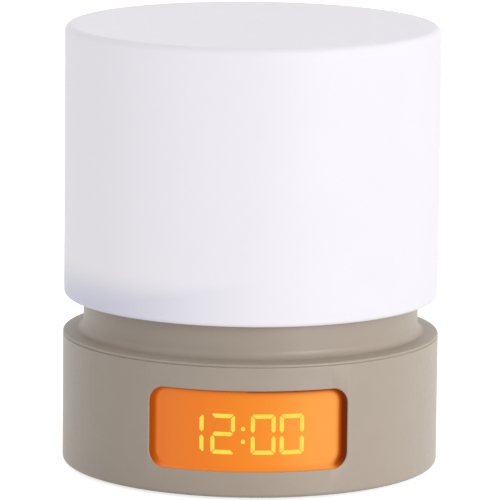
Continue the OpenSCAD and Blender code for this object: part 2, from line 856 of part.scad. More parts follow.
module key(i) {
    x = station_x(i);
    color("#a69a8c") {
        intersection() {
            rod_y(x, key_mid, key_r, flange_back, base_ro + cut);
            cylinder(r = key_ro, h = shoulder_z);
        }
        intersection() {
            rod_y(x, key_mid, key_r + key_flange, flange_back - cut, base_ro);
            tube(flange_ro, flange_ri, base_z, shoulder_z);
        }
        rod_y(x, key_mid, stem_r, switch_top + plunger_out, flange_back + cut);
    }
}

module plunger(i) {
    color("#d8d4cb")
        rod_y(station_x(i), key_mid, plunger_r, switch_top - plunger_in, switch_top + plunger_out);
}

module time_key() key(0);
module alarm_key() key(1);
module plus_key() key(2);
module minus_key() key(3);
module light_key() key(4);
module time_plunger() plunger(0);
module alarm_plunger() plunger(1);
module plus_plunger() plunger(2);
module minus_plunger() plunger(3);
module light_plunger() plunger(4);

module slide_switch() {
    x = station_x(stations - 1);
    color("silver") difference() {
        block([x - slide_body_w / 2, keypad_y, key_mid - slide_body_l / 2],
            [x + slide_body_w / 2, switch_top, key_mid + slide_body_l / 2]);
        block([x - slider_stem / 2 - slide_gap, keypad_y + slide_floor,
             slider_low - slider_h / 2 - slide_gap],
            [x + slider_stem / 2 + slide_gap, switch_top + cut,
             slider_low + slider_travel + slider_h / 2 + slide_gap]);
    }
}

module alarm_slider() {
    x = station_x(stations - 1);
    color("#6f665c") intersection() {
        union() {
            block([x - slider_stem / 2, keypad_y + slide_floor + seat_gap, slider_low - slider_h / 2],
                [x + slider_stem / 2, base_ro, slider_low + slider_h / 2]);
            block([x - slider_w / 2, flange_back, slider_low - slider_h / 2],
                [x + slider_w / 2, base_ro, slider_low + slider_h / 2]);
        }
        cylinder(r = key_ro, h = shoulder_z);
    }
}

// Neck and lamp

module neck_profile() {
    skirt_in = skirt_r - fit_gap - skirt_wall;
    polygon([
        [skirt_in, roof_z], [skirt_r - fit_gap, roof_z], [skirt_r - fit_gap, shoulder_z],
        each arc(neck_ro + neck_fillet, shoulder_z + neck_fillet, neck_fillet, 270, 180),
        [neck_ro, neck_z], [neck_ri, neck_z], [neck_ri, platform_z],
        [0, platform_z], [0, platform_z - platform_t], [neck_ri, platform_z - platform_t],
        [neck_ri, shoulder_z + flange_t], [skirt_in, shoulder_z + flange_t]]);
}

module neck() {
    color("#a69a8c") difference() {
        union() {
            rotate_extrude($fn = 128) neck_profile();
            for (a = neck_screw_angles) rotate([0, 0, a])
                translate([neck_screw_r, 0, shoulder_z + flange_t / 2])
                    cylinder(r = neck_boss_r, h = neck_boss_h);
        }
        for (a = neck_screw_angles) rotate([0, 0, a])
            translate([neck_screw_r, 0, shoulder_z - cut])
                cylinder(r = screw_r + pin_gap, h = neck_boss_h + cut);
        for (a = leg_angles) rotate([0, 0, a])
            translate([leg_ring_r, 0, platform_z - platform_t - cut])
                cylinder(r = leg_r + slide_gap, h = platform_t + 2 * cut);
        for (s = [-1, 1]) translate([s * lamp_screw_x, 0, platform_z - platform_t - cut])
            cylinder(r = small_r + pin_gap, h = platform_t + 2 * cut);
        translate([0, wire_y, platform_z - platform_t - cut])
            cylinder(r = wire_hole_r, h = platform_t + 2 * cut);
    }
}

module neck_screws() {
    color("silver") for (a = neck_screw_angles) rotate([0, 0, a])
        translate([neck_screw_r, 0, roof_z])
            screw(screw_r, shoulder_t + neck_boss_h - fit_gap, screw_head_r, screw_head_h);
}

module lamp_board() {
    color("white") difference() {
        translate([0, 0, platform_z]) cylinder(r = lamp_r, h = board_t);
        for (s = [-1, 1]) translate([s * lamp_screw_x, 0, platform_z - cut])
            cylinder(r = small_r + pin_gap, h = board_t + 2 * cut);
    }
}

module lamp_leds() {
    color("#f5e6a0") {
        for (ring = lamp_rings, i = [0:ring[1] - 1]) rotate([0, 0, (i + 0.5) * 360 / ring[1]])
            translate([ring[0], 0, platform_z + board_t + lamp_led[2] / 2])
                cube(lamp_led, center = true);
    }
}

module lamp_screws() {
    color("silver") for (s = [-1, 1])
        translate([s * lamp_screw_x, 0, platform_z + board_t]) mirror([0, 0, 1])
            screw(small_r, board_t + platform_t, small_head_r, small_head_h);
}

module lamp_wires() {
    color("white") block([-plug_w / 2, wire_y - plug_d / 2, main_top],
        [plug_w / 2, wire_y + plug_d / 2, main_top + plug_h]);
    color("firebrick") for (s = [-1, 1]) translate([s * wire_x, wire_y, main_top + plug_h - cut])
        cylinder(r = wire_r, h = platform_z - main_top - plug_h + cut, $fn = 24);
}

// Snooze switch and the diffuser that presses it

module snooze_board() {
    color("#1f6b45") block([-snooze_board_w / 2, snooze_y - snooze_board_d / 2, platform_z],
        [snooze_board_w / 2, snooze_y + snooze_board_d / 2, platform_z + snooze_board_t]);
}

module snooze_switch() {
    color("#202225") translate([0, snooze_y, platform_z + snooze_board_t]) rotate([90, 0, 0])
        switch_body(switch_w, snooze_h, plunger_r + pin_gap, snooze_floor);
}

module snooze_plunger() {
    low = platform_z + snooze_board_t + snooze_floor + press_travel + fit_gap;
    color("#d8d4cb") translate([0, snooze_y, low]) cylinder(r = plunger_r, h = carrier_z - low);
}

module return_springs() {
    color("silver") for (a = leg_angles) rotate([0, 0, a])
        translate([leg_ring_r, 0, platform_z]) coil(coil_r, coil_wire, spring_h, coil_turns);
}

module diffuser_carrier() {
    stop_z = platform_z - platform_t - seat_gap;
    color("white") difference() {
        union() {
            tube(carrier_ro, carrier_hole_r, carrier_z, carrier_z + carrier_t);
            tube(carrier_ro, neck_ro + guide_gap, rim_z + guide_drop, carrier_z + carrier_t / 2);
            for (a = leg_angles) rotate([0, 0, a]) translate([leg_ring_r, 0, stop_z])
                cylinder(r = leg_r, h = carrier_z + carrier_t / 2 - stop_z);
        }
        for (a = leg_angles) rotate([0, 0, a]) translate([leg_ring_r, 0, stop_z - cut])
            cylinder(r = small_r + pin_gap, h = leg_bite + cut + fit_gap);
    }
}

module carrier_screws() {
    stop_z = platform_z - platform_t - seat_gap;
    color("silver") for (a = leg_angles) rotate([0, 0, a]) translate([leg_ring_r, 0, stop_z - washer_t]) {
        cylinder(r = washer_r, h = washer_t);
        screw(small_r, washer_t + leg_bite, small_head_r, small_head_h);
    }
}

module diffuser_profile() {
    polygon(concat(
        [[diffuser_ri, rim_z]],
        arc(diffuser_ro - rim_r, rim_z + rim_r, rim_r, -90, 0),
        arc(diffuser_ro - crown_r, top_z - crown_r, crown_r, 0, 90),
        [[0, top_z], [0, top_z - diffuser_top], [diffuser_ri, top_z - diffuser_top]]));
}

module diffuser() {
    color("white") rotate_extrude($fn = 128) diffuser_profile();
}

base_shell();
base_plate();
feet();
base_screws();
battery_door();
batteries();
battery_contacts();
main_board();
board_screws();
main_chips();
power_inlet();
speaker();
display_lens();
digit_bars();
light_box();
display_board();
display_leds();
display_screws();
display_ribbon();
keypad_board();
keypad_header();
key_switches();
time_key();
alarm_key();
plus_key();
minus_key();
light_key();
time_plunger();
alarm_plunger();
plus_plunger();
minus_plunger();
light_plunger();
slide_switch();
alarm_slider();
neck();
neck_screws();
lamp_board();
lamp_leds();
lamp_screws();
lamp_wires();
snooze_board();
snooze_switch();
snooze_plunger();
return_springs();
diffuser_carrier();
carrier_screws();
diffuser();
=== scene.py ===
"""Looks of a bedside lamp clock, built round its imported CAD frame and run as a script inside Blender."""
import json
import math

import bmesh
import bpy
from bpy.props import FloatProperty, FloatVectorProperty, IntProperty, PointerProperty
from mathutils import Matrix, Vector


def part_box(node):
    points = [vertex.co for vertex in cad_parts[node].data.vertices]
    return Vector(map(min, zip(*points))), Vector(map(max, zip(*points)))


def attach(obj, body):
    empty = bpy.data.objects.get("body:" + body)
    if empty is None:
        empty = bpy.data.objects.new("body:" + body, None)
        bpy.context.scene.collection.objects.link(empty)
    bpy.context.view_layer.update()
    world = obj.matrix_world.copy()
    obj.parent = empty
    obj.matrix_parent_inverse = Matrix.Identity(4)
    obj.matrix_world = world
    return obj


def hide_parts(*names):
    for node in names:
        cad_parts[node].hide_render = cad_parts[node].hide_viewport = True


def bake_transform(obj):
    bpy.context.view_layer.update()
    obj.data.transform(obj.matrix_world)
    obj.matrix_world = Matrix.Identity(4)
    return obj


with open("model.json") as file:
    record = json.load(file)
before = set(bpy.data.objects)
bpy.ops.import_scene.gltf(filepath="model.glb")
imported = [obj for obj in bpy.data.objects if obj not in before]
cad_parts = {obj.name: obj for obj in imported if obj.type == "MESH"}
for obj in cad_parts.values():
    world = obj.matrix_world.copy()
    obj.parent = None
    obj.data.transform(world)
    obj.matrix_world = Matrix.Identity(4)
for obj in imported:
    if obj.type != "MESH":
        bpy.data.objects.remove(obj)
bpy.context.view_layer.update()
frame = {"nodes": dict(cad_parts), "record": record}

bl_info = {
    "name": "Lamp clock looks",
    "version": (1, 0, 0),
    "blender": (4, 5, 0),
    "location": "3D View > Sidebar > Lamp clock",
    "description": "Dresses the CAD frame of a bedside lamp clock",
    "category": "Object",
}

MM = 0.001
FULL_TURN = 2 * math.pi
# Faces round a whole drum
STEPS = 256
# Distances within which points are merged, lie on a ring or at a depth, and lie on a cutting plane
MERGE, NEAR, ON_PLANE = 0.001 * MM, 0.01 * MM, 0.0005 * MM
# Ranges that a noise texture's values mostly lie in, over broad patches and over fine grains
PATCHES, GRAINS = (0.35, 0.65), (0.3, 0.7)
# The finish of each material slot
FINISHES = {}


def low(node, axis):
    """Lowest coordinate of a CAD node along an axis, in metres."""
    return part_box(node)[0][axis]


def high(node, axis):
    """Highest coordinate of a CAD node along an axis, in metres."""
    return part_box(node)[1][axis]


def halfway(node, axis):
    """Middle coordinate of a CAD node along an axis, in metres."""
    return (low(node, axis) + high(node, axis)) / 2


def linear(hex_colour):
    """Linear colour of an sRGB hex value."""
    parts = [int(hex_colour[i:i + 2], 16) / 255 for i in (1, 3, 5)]
    return tuple(p / 12.92 if p <= 0.04045 else ((p + 0.055) / 1.055) ** 2.4 for p in parts)


# Radii and levels that the frame gives, with the neck's step in from the drum and the roof's thickness
BASE_R = high("base_shell", 0)
BASE_LOW = low("base_shell", 2)
SHOULDER_Z = high("base_shell", 2)
DRUM_R = high("diffuser", 0)
RIM_Z = low("diffuser", 2)
TOP_Z = high("diffuser", 2)
NECK_Z = high("neck", 2)
NECK_R = DRUM_R - 5.5 * MM
LENS_R = -low("display_lens", 1)
ROOF = 2.5 * MM
# Half of the angle that the window takes up, seen from the axis
WINDOW_ANGLE = math.radians(31)
KEYS = ("time", "alarm", "plus", "minus", "light")
KEY_Z = halfway("time_key", 2)
# Radius of a key's cap and of the drum that the keys' fronts lie in, depths of their flanges under that drum,
# and the plane that their backs lie in
KEY_CAP_R = 3 * MM
KEY_R = math.hypot(high("light_key", 1), halfway("light_key", 0) - KEY_CAP_R)
FLANGE_DEPTH, FLANGE_BACK = (2.55 * MM, 3.95 * MM), 41.77 * MM
# Digits of the time: place along the display's surface and lit bars
DIGITS = ((-15.675 * MM, (1, 2)), (-6.95 * MM, (0, 1, 6, 4, 3)), (4.15 * MM, range(6)),
          (12.1 * MM, range(6)))
COLON_X = -1.35 * MM
# Light on the tray's left, right and bottom walls: the light box's glow with painted shade, darkest on the
# right
PAINTED_LIGHT_LEFT, PAINTED_LIGHT_RIGHT, PAINTED_LIGHT_BOTTOM = 0.5, 0.2, 0.9
# What the bottom wall's glow loses towards its ends, and the share that reaches a wall's front edge
GLOW_LOSS, GLOW_FRONT = 0.9, 0.85
# How deep and how high the painted shadow under the window's upper rim is
RIM_SHADOW_DIP, RIM_SHADOW_HEIGHT = 0.42, 2.8 * MM
# Painted light on the drum's side, strongest left of its middle: place over its width from left to right, and
# strength
PAINTED_SIDE_LIGHT = ((0.0, 0.25), (0.05, 0.35), (0.14, 0.41), (0.3, 0.43), (0.5, 0.4), (0.7, 0.38), (0.86, 0.33),
             (0.95, 0.29), (1.0, 0.22))
# Painted light on the drum's top, and the heights between which it takes over
PAINTED_TOP_LIGHT, PAINTED_TOP_LIGHT_Z = 0.28, (TOP_Z - 2 * MM, TOP_Z - 0.2 * MM)
# Painted shade where the carrier's ring stands inside the drum: it fades out between these heights, and
# between these places over the width
PAINTED_SHADE_Z, PAINTED_SHADE_X = (RIM_Z + 1 * MM, RIM_Z + 13 * MM), (-48 * MM, 6 * MM)
# Share of a lit sheet's colour that is its own glow, half the width that the amber sheet's colours run over,
# and the least glow that still belongs to the sheet
LIT_SHARE, SHEET_HALF, SHEET_GLOW = 0.85, 25 * MM, 0.62
# Colours along the display sheet, lighter towards the right as painted light, and on its side walls from the
# least lit to the most, as painted shade
SHEET_STEPS = ((0.02, "#E47A33"), (0.1, "#E97E32"), (0.24, "#EE8029"), (0.46, "#F58A2A"), (0.64, "#FA9332"),
               (0.8, "#FCA142"), (0.94, "#FFA54C"))
WALL_STEPS = ((0.1, "#54190A"), (0.24, "#752804"), (0.5, "#AE4B05"), (0.72, "#D66E26"), (0.9, "#E37A30"))
# Lit walls of the room: azimuth from the front to the right, rise, how narrow and how bright. The low ones
# stand at the sides and the back, and the high one at the front right
WALL_LIGHTS = ((100, 8, 3.0, 1.8), (-90, 8, 3.0, 1.4), (180, 8, 2.0, 0.777), (-135, 8, 3.0, 0.305),
               (25, 62, 4.0, 1.02))
# Softboxes: azimuth from the front to the right, rise, size in metres and power in watts
SOFTBOXES = {"key_softbox": (40, 14, 0.6, 12.9), "fill_softbox": (-38, 8, 0.6, 0.6)}
# Metres from the axis to a softbox, the height that it points at and the floor's radius
LAMP_DISTANCE, LAMP_AIM, FLOOR_R = 1.6, 0.05, 3
# Own light of the paper floor that makes it read as white
FLOOR_LIFT = 0.76


def length(name, description, value):
    """A size in metres that a user can change."""
    return FloatProperty(name=name, description=description, default=value, min=0.0, unit="LENGTH",
                         precision=5)


def colour(name, description, value):
    """A colour that a user can change, from its sRGB hex value."""
    return FloatVectorProperty(name=name, description=description, subtype="COLOR", size=3, min=0.0, max=1.0,
                               default=linear(value))


class ClockSizes(bpy.types.PropertyGroup):
    """Sizes of the pieces that dress the frame"""
    base_wall: length("Base wall", "Thickness of the base's wall", 2.5 * MM)
    base_foot_round: length("Lower edge", "Edge radius at the bottom of the base", 1.2 * MM)
    shoulder_round: length("Shoulder edge", "Edge radius of the base's shoulder", 0.5 * MM)
    shoulder_drop: length("Shoulder drop", "Fall of the shoulder from the neck to its edge", 0.8 * MM)
    seam_z: length("Seam height", "Height of the seam between the cover and the drum wall", 37.2 * MM)
    seam_gap: length("Seam width", "Width of the seam", 0.2 * MM)
    seam_depth: length("Seam depth", "Depth of the seam", 0.25 * MM)
    seam_round: length("Seam edge", "Edge radius of the drum wall under the seam", 0.4 * MM)
    rim_round: length("Window rim", "Edge radius round the display's window", 0.3 * MM)
    window_low: length("Window bottom", "Height of the window's lower edge", 8.1 * MM)
    window_high: length("Window top", "Height of the window's upper edge", 30.5 * MM)
    window_corner: length("Window corner", "Corner radius of the window", 4.5 * MM)
    tray_wall: length("Tray wall", "Thickness of the amber tray's side wall", 0.12 * MM)
    tray_fillet: length("Tray fillet", "Hollow corner between the tray's wall and its floor", 1.7 * MM)
    drum_wall: length("Drum wall", "Thickness of the drum's side", 2.2 * MM)
    drum_top: length("Drum top", "Thickness of the drum's top", 2.6 * MM)
    crown_round: length("Drum top edge", "Edge radius of the drum's top", 2.0 * MM)
    drum_rim_round: length("Drum rim", "Edge radius of the drum's lower rim", 1.2 * MM)
    neck_wall: length("Neck wall", "Thickness of the neck", 2.4 * MM)
    neck_fillet: length("Neck fillet", "Hollow corner between the neck and the shoulder", 2.2 * MM)
    roof_hole: length("Roof hole", "Radius of the hole in the base's roof", 37.8 * MM)
    digit_height: length("Digit height", "Height of a digit", 11.2 * MM)
    digit_width: length("Digit width", "Width of a digit", 6.8 * MM)
    digit_middle: length("Digit middle", "Height of the digits' middle", 17.8 * MM)
    stroke: length("Bar width", "Width of a lit bar", 1.15 * MM)
    bar_gap: length("Bar gap", "Gap between neighbouring bars at a digit's corners", 0.25 * MM)
    middle_gap: length("Middle gap", "Gap between the upper and the lower side bar", 0.9 * MM)
    key_chamfer: length("Key edge", "Edge radius of a key", 0.35 * MM)
    groove_count: IntProperty(name="Door grooves", description="Grip grooves in the battery door", default=7,
                              min=2, max=12)


class ClockColours(bpy.types.PropertyGroup):
    """Colours of the finishes"""
    shell: colour("Shell", "Taupe of the base and the neck", "#A09487")
    plate: colour("Plate", "Taupe of the underside", "#8B8176")
    opal: colour("Drum", "White of the opal drum", "#BDBBC0")
    digit: colour("Digits", "Yellow of the lit bars", "#FDE256")


def sizes():
    """The scene's sizes."""
    return bpy.context.scene.clock_sizes


def colours():
    """The scene's colours."""
    return bpy.context.scene.clock_colours


# Mesh helpers

def new_piece(name, mesh_data):
    """Links a finished bmesh as an object at the origin."""
    mesh = bpy.data.meshes.new(name)
    mesh_data.to_mesh(mesh)
    mesh_data.free()
    piece = bpy.data.objects.new(name, mesh)
    bpy.context.scene.collection.objects.link(piece)
    return piece


def spun(profile, steps=STEPS, about_y=False):
    """Turns a closed profile of (radius, height) points about Z, or of (radius, depth) points about Y."""
    bm = bmesh.new()
    points = [bm.verts.new((r, h, 0) if about_y else (r, 0, h)) for r, h in profile]
    lines = [bm.edges.new((a, b)) for a, b in zip(points, points[1:] + points[:1])]
    bmesh.ops.spin(bm, geom=points + lines, cent=(0, 0, 0), axis=(0, 1, 0) if about_y else (0, 0, 1),
                   angle=FULL_TURN, steps=steps, use_merge=True)
    bmesh.ops.remove_doubles(bm, verts=bm.verts, dist=MERGE)
    bmesh.ops.recalc_face_normals(bm, faces=bm.faces)
    return bm


def ring_edges(bm, radius, z):
    """Edges of the ring at a radius and a height."""
    def on_ring(v):
        return abs(math.hypot(v.co.x, v.co.y) - radius) < NEAR and abs(v.co.z - z) < NEAR
    return [e for e in bm.edges if all(on_ring(v) for v in e.verts)]


def round_edges(bm, edges, radius, segments):
    """Rounds edges with an even arc."""
    bmesh.ops.bevel(bm, geom=edges, offset=radius, offset_type="OFFSET", segments=segments, profile=0.5,
                    affect="EDGES", material=-1, clamp_overlap=False)


def rounded_rectangle(bm, width, height, radius, segments, centre):
    """A flat rectangle in XZ with round corners, as one face."""
    start = len(bm.verts)
    made = bmesh.ops.create_grid(bm, x_segments=1, y_segments=1, size=0.5)["verts"]
    bmesh.ops.scale(bm, vec=(width, height, 1), verts=made)
    bmesh.ops.rotate(bm, cent=(0, 0, 0), matrix=Matrix.Rotation(math.pi / 2, 3, "X"), verts=made)
    bmesh.ops.translate(bm, vec=(centre[0], 0, centre[1]), verts=made)
    bmesh.ops.bevel(bm, geom=made, offset=radius, offset_type="OFFSET", segments=segments, profile=0.5,
                    affect="VERTICES", material=-1, clamp_overlap=False)
    return list(bm.verts)[start:]


def block(bm, low_corner, high_corner, edge=0.0):
    """A box between two corners, with its edges rounded."""
    made = bmesh.ops.create_cube(bm, size=1)["verts"]
    low_corner, high_corner = Vector(low_corner), Vector(high_corner)
    bmesh.ops.scale(bm, vec=high_corner - low_corner, verts=made)
    bmesh.ops.translate(bm, vec=(high_corner + low_corner) / 2, verts=made)
    if edge:
        round_edges(bm, list({e for v in made for e in v.link_edges}), edge, 3)


def rod(bm, centre, radius, half_length, axis="X", edge=0.0, steps=32):
    """A cylinder along X or Z, with its end edges rounded."""
    made = bmesh.ops.create_cone(bm, cap_ends=True, segments=steps, radius1=radius, radius2=radius,
                                 depth=2 * half_length)["verts"]
    rims = [e for v in made for e in v.link_edges if any(len(f.verts) > 4 for f in e.link_faces)]
    if axis == "X":
        bmesh.ops.rotate(bm, cent=(0, 0, 0), matrix=Matrix.Rotation(math.pi / 2, 3, "Y"), verts=made)
    bmesh.ops.translate(bm, vec=centre, verts=made)
    if edge:
        round_edges(bm, list(set(rims)), edge, 3)


def points_of(results):
    """The points among what a bmesh operator gives back."""
    return [v for v in results if isinstance(v, bmesh.types.BMVert)]


def push(bm, faces, depth, keep=False):
    """Extrudes faces along Y and gives back what grew. The first faces stay where keep is set."""
    grown = bmesh.ops.extrude_face_region(bm, geom=faces, use_keep_orig=keep)["geom"]
    bmesh.ops.translate(bm, vec=(0, depth, 0), verts=points_of(grown))
    return grown


def copies(bm, places):
    """Repeats everything in a mesh at places, which take the place of the first."""
    first = bm.verts[:] + bm.edges[:] + bm.faces[:]
    for place in places[1:]:
        made = bmesh.ops.duplicate(bm, geom=first)["geom"]
        bmesh.ops.translate(bm, vec=place, verts=points_of(made))
    bmesh.ops.translate(bm, vec=places[0], verts=points_of(first))


def slice_up(bm, spacing, axis=0):
    """Cuts a flat shape into strips, so that it can bend."""
    values = [v.co[axis] for v in bm.verts]
    first, last = math.ceil(min(values) / spacing), math.floor(max(values) / spacing)
    for i in range(first, last + 1):
        place, normal = Vector((0, 0, 0)), Vector((0, 0, 0))
        place[axis], normal[axis] = i * spacing, 1
        bmesh.ops.bisect_plane(bm, geom=bm.verts[:] + bm.edges[:] + bm.faces[:], dist=ON_PLANE,
                               plane_co=place, plane_no=normal)


def wrap(bm, radius, front=True):
    """Bends a flat shape onto a drum: X runs along the surface and Y is the depth under it."""
    for v in bm.verts:
        angle, r = v.co.x / radius, radius - v.co.y
        v.co = Vector((r * math.sin(angle), (-1 if front else 1) * r * math.cos(angle), v.co.z))


def carve(piece, *cutters):
    """Takes the cutters' shapes out of a piece."""
    for cutter in cutters:
        cut = piece.modifiers.new("cut", "BOOLEAN")
        cut.operation, cut.solver, cut.object = "DIFFERENCE", "EXACT", cutter
    bpy.context.view_layer.update()
    carved = bpy.data.meshes.new_from_object(piece.evaluated_get(bpy.context.evaluated_depsgraph_get()))
    piece.modifiers.clear()
    piece.data = carved
    for cutter in cutters:
        bpy.data.objects.remove(cutter)


def smooth(value):
    """A soft step from 0 to 1."""
    value = min(1.0, max(0.0, value))
    return value * value * (3 - 2 * value)


def true_normals(face):
    """Normals at the points of a level or a drum-shaped face, and none for any other."""
    even, upright = 0.002 * MM, 0.01
    heights = [v.co.z for v in face.verts]
    radii = [math.hypot(v.co.x, v.co.y) for v in face.verts]
    if max(heights) - min(heights) < even:
        return {v.index: Vector((0, 0, math.copysign(1, face.normal.z))) for v in face.verts}
    if max(radii) - min(radii) < even and abs(face.normal.z) < upright:
        side = 1 if face.normal.dot(face.calc_center_median()) > 0 else -1
        return {v.index: Vector((v.co.x, v.co.y, 0)).normalized() * side for v in face.verts}
    return {}


def shade(piece, angle=35):
    """Smooth shading whose level and drum-shaped faces keep their true normals."""
    mesh = piece.data
    bm = bmesh.new()
    bm.from_mesh(mesh)
    for face in bm.faces:
        face.smooth = True
    for edge in bm.edges:
        edge.smooth = len(edge.link_faces) == 2 and edge.calc_face_angle(0) < math.radians(angle)
    bm.to_mesh(mesh)
    known = {face.index: true_normals(face) for face in bm.faces}
    face_normals = {face.index: face.normal.copy() for face in bm.faces}
    bm.free()
    at_vertex = {}
    for own in known.values():
        for index, normal in own.items():
            at_vertex.setdefault(index, []).append(normal)
    normals = [Vector((0, 0, 0))] * len(mesh.loops)
    close = math.cos(math.radians(angle))
    for polygon in mesh.polygons:
        own = known[polygon.index]
        for loop in polygon.loop_indices:
            vertex = mesh.loops[loop].vertex_index
            if own:
                normals[loop] = own[vertex]
                continue
            near = [n for n in at_vertex.get(vertex, ()) if n.dot(face_normals[polygon.index]) > close]
            if near:
                normals[loop] = max(near, key=lambda n: n.dot(face_normals[polygon.index]))
    mesh.normals_split_custom_set(normals)


def finish_piece(piece, body, slot, replaced, angle=35):
    """Shades a piece and gives it its slot's finish and its body, and hides the CAD nodes that it stands for.
    """
    shade(piece, angle)
    piece.data.materials.clear()
    piece.data.materials.append(FINISHES[slot])
    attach(piece, body)
    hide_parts(*replaced)


# Materials

def add(tree, kind, links=None, **settings):
    """Adds a node with its settings and its inputs' values or links."""
    made = tree.nodes.new(kind)
    for key, value in settings.items():
        setattr(made, key, value)
    for key, value in (links or {}).items():
        if isinstance(value, bpy.types.NodeSocket):
            tree.links.new(value, made.inputs[key])
        else:
            made.inputs[key].default_value = value
    return made


def start_material(name):
    """An empty node material with its shader, its output and Object coordinates."""
    material = bpy.data.materials.new(name)
    material.use_nodes = True
    tree = material.node_tree
    tree.nodes.clear()
    shader = add(tree, "ShaderNodeBsdfPrincipled")
    add(tree, "ShaderNodeOutputMaterial", {"Surface": shader.outputs["BSDF"]})
    return material, tree, shader, add(tree, "ShaderNodeTexCoord").outputs["Object"]


def rgba(value, factor=1.0):
    """A colour for a socket, made lighter or darker by a factor."""
    return (*(min(1.0, c * factor) for c in value), 1.0)


def uneven(tree, place, base, spread, grain, detail=3.0):
    """A colour that varies a little over patches of a real size."""
    patches = add(tree, "ShaderNodeTexNoise", {"Vector": place, "Scale": 1 / grain, "Detail": detail})
    ramp = add(tree, "ShaderNodeValToRGB", {"Fac": patches.outputs["Fac"]})
    for element, position, factor in zip(ramp.color_ramp.elements, PATCHES, (1 - spread, 1 + spread)):
        element.position, element.color = position, rgba(base, factor)
    return ramp.outputs["Color"]


def rough_grain(tree, place, middle, spread, grain):
    """A roughness that varies over grains of a real size."""
    noise = add(tree, "ShaderNodeTexNoise", {"Vector": place, "Scale": 1 / grain, "Detail": 2.0})
    rough = add(tree, "ShaderNodeMapRange", {"Value": noise.outputs["Fac"], "From Min": GRAINS[0],
                                             "From Max": GRAINS[1], "To Min": middle - spread,
                                             "To Max": middle + spread})
    return rough.outputs["Result"]


def relief(tree, place, grain, height):
    """A fine relief of grains of a real size and height."""
    noise = add(tree, "ShaderNodeTexNoise", {"Vector": place, "Scale": 1 / grain, "Detail": 2.0,
                                             "Roughness": 0.6})
    bump = add(tree, "ShaderNodeBump", {"Height": noise.outputs["Fac"], "Distance": height, "Strength": 1.0})
    return bump.outputs["Normal"]


def moulded(name, base, roughness, grain=0.5 * MM, height=0.012 * MM, spread=0.015, ior=1.53):
    """An injection-moulded plastic from a spark-eroded mould: an even, finely grained matte skin."""
    patch, gloss_spread, gloss_grain = 9 * MM, 0.04, 1.2 * MM
    material, tree, shader, place = start_material(name)
    tree.links.new(uneven(tree, place, base, spread, patch), shader.inputs["Base Color"])
    rough = rough_grain(tree, place, roughness, gloss_spread, gloss_grain)
    tree.links.new(rough, shader.inputs["Roughness"])
    tree.links.new(relief(tree, place, grain, height), shader.inputs["Normal"])
    shader.inputs["IOR"].default_value = ior
    return material


def turned_metal(name, base, roughness, scratch=0.3 * MM):
    """A plated metal that was turned or rolled: fine lines and a satin gloss."""
    patch, spread, gloss_spread, depth = 2 * MM, 0.05, 0.08, 0.004 * MM
    material, tree, shader, place = start_material(name)
    tree.links.new(uneven(tree, place, base, spread, patch), shader.inputs["Base Color"])
    # The lines run round, so the pattern is eight times as dense upwards
    dense = add(tree, "ShaderNodeMapping", {"Vector": place, "Scale": (1.0, 1.0, 8.0)}).outputs["Vector"]
    tree.links.new(rough_grain(tree, dense, roughness, gloss_spread, scratch), shader.inputs["Roughness"])
    tree.links.new(relief(tree, dense, scratch, depth), shader.inputs["Normal"])
    shader.inputs["Metallic"].default_value = 1.0
    return material


def shell_material():
    # ABS, injection moulded with a fine spark-eroded skin, 0.2 mm grain drawn at 0.5 mm so that it shows.
    # To the eye: an even matte taupe with a soft sheen towards the edges.
    return moulded("abs_taupe_matte", colours().shell, 0.46)


def plate_material():
    # The same ABS in a slightly darker shade, as the underside of such housings is.
    return moulded("abs_taupe_plate", colours().plate, 0.55)


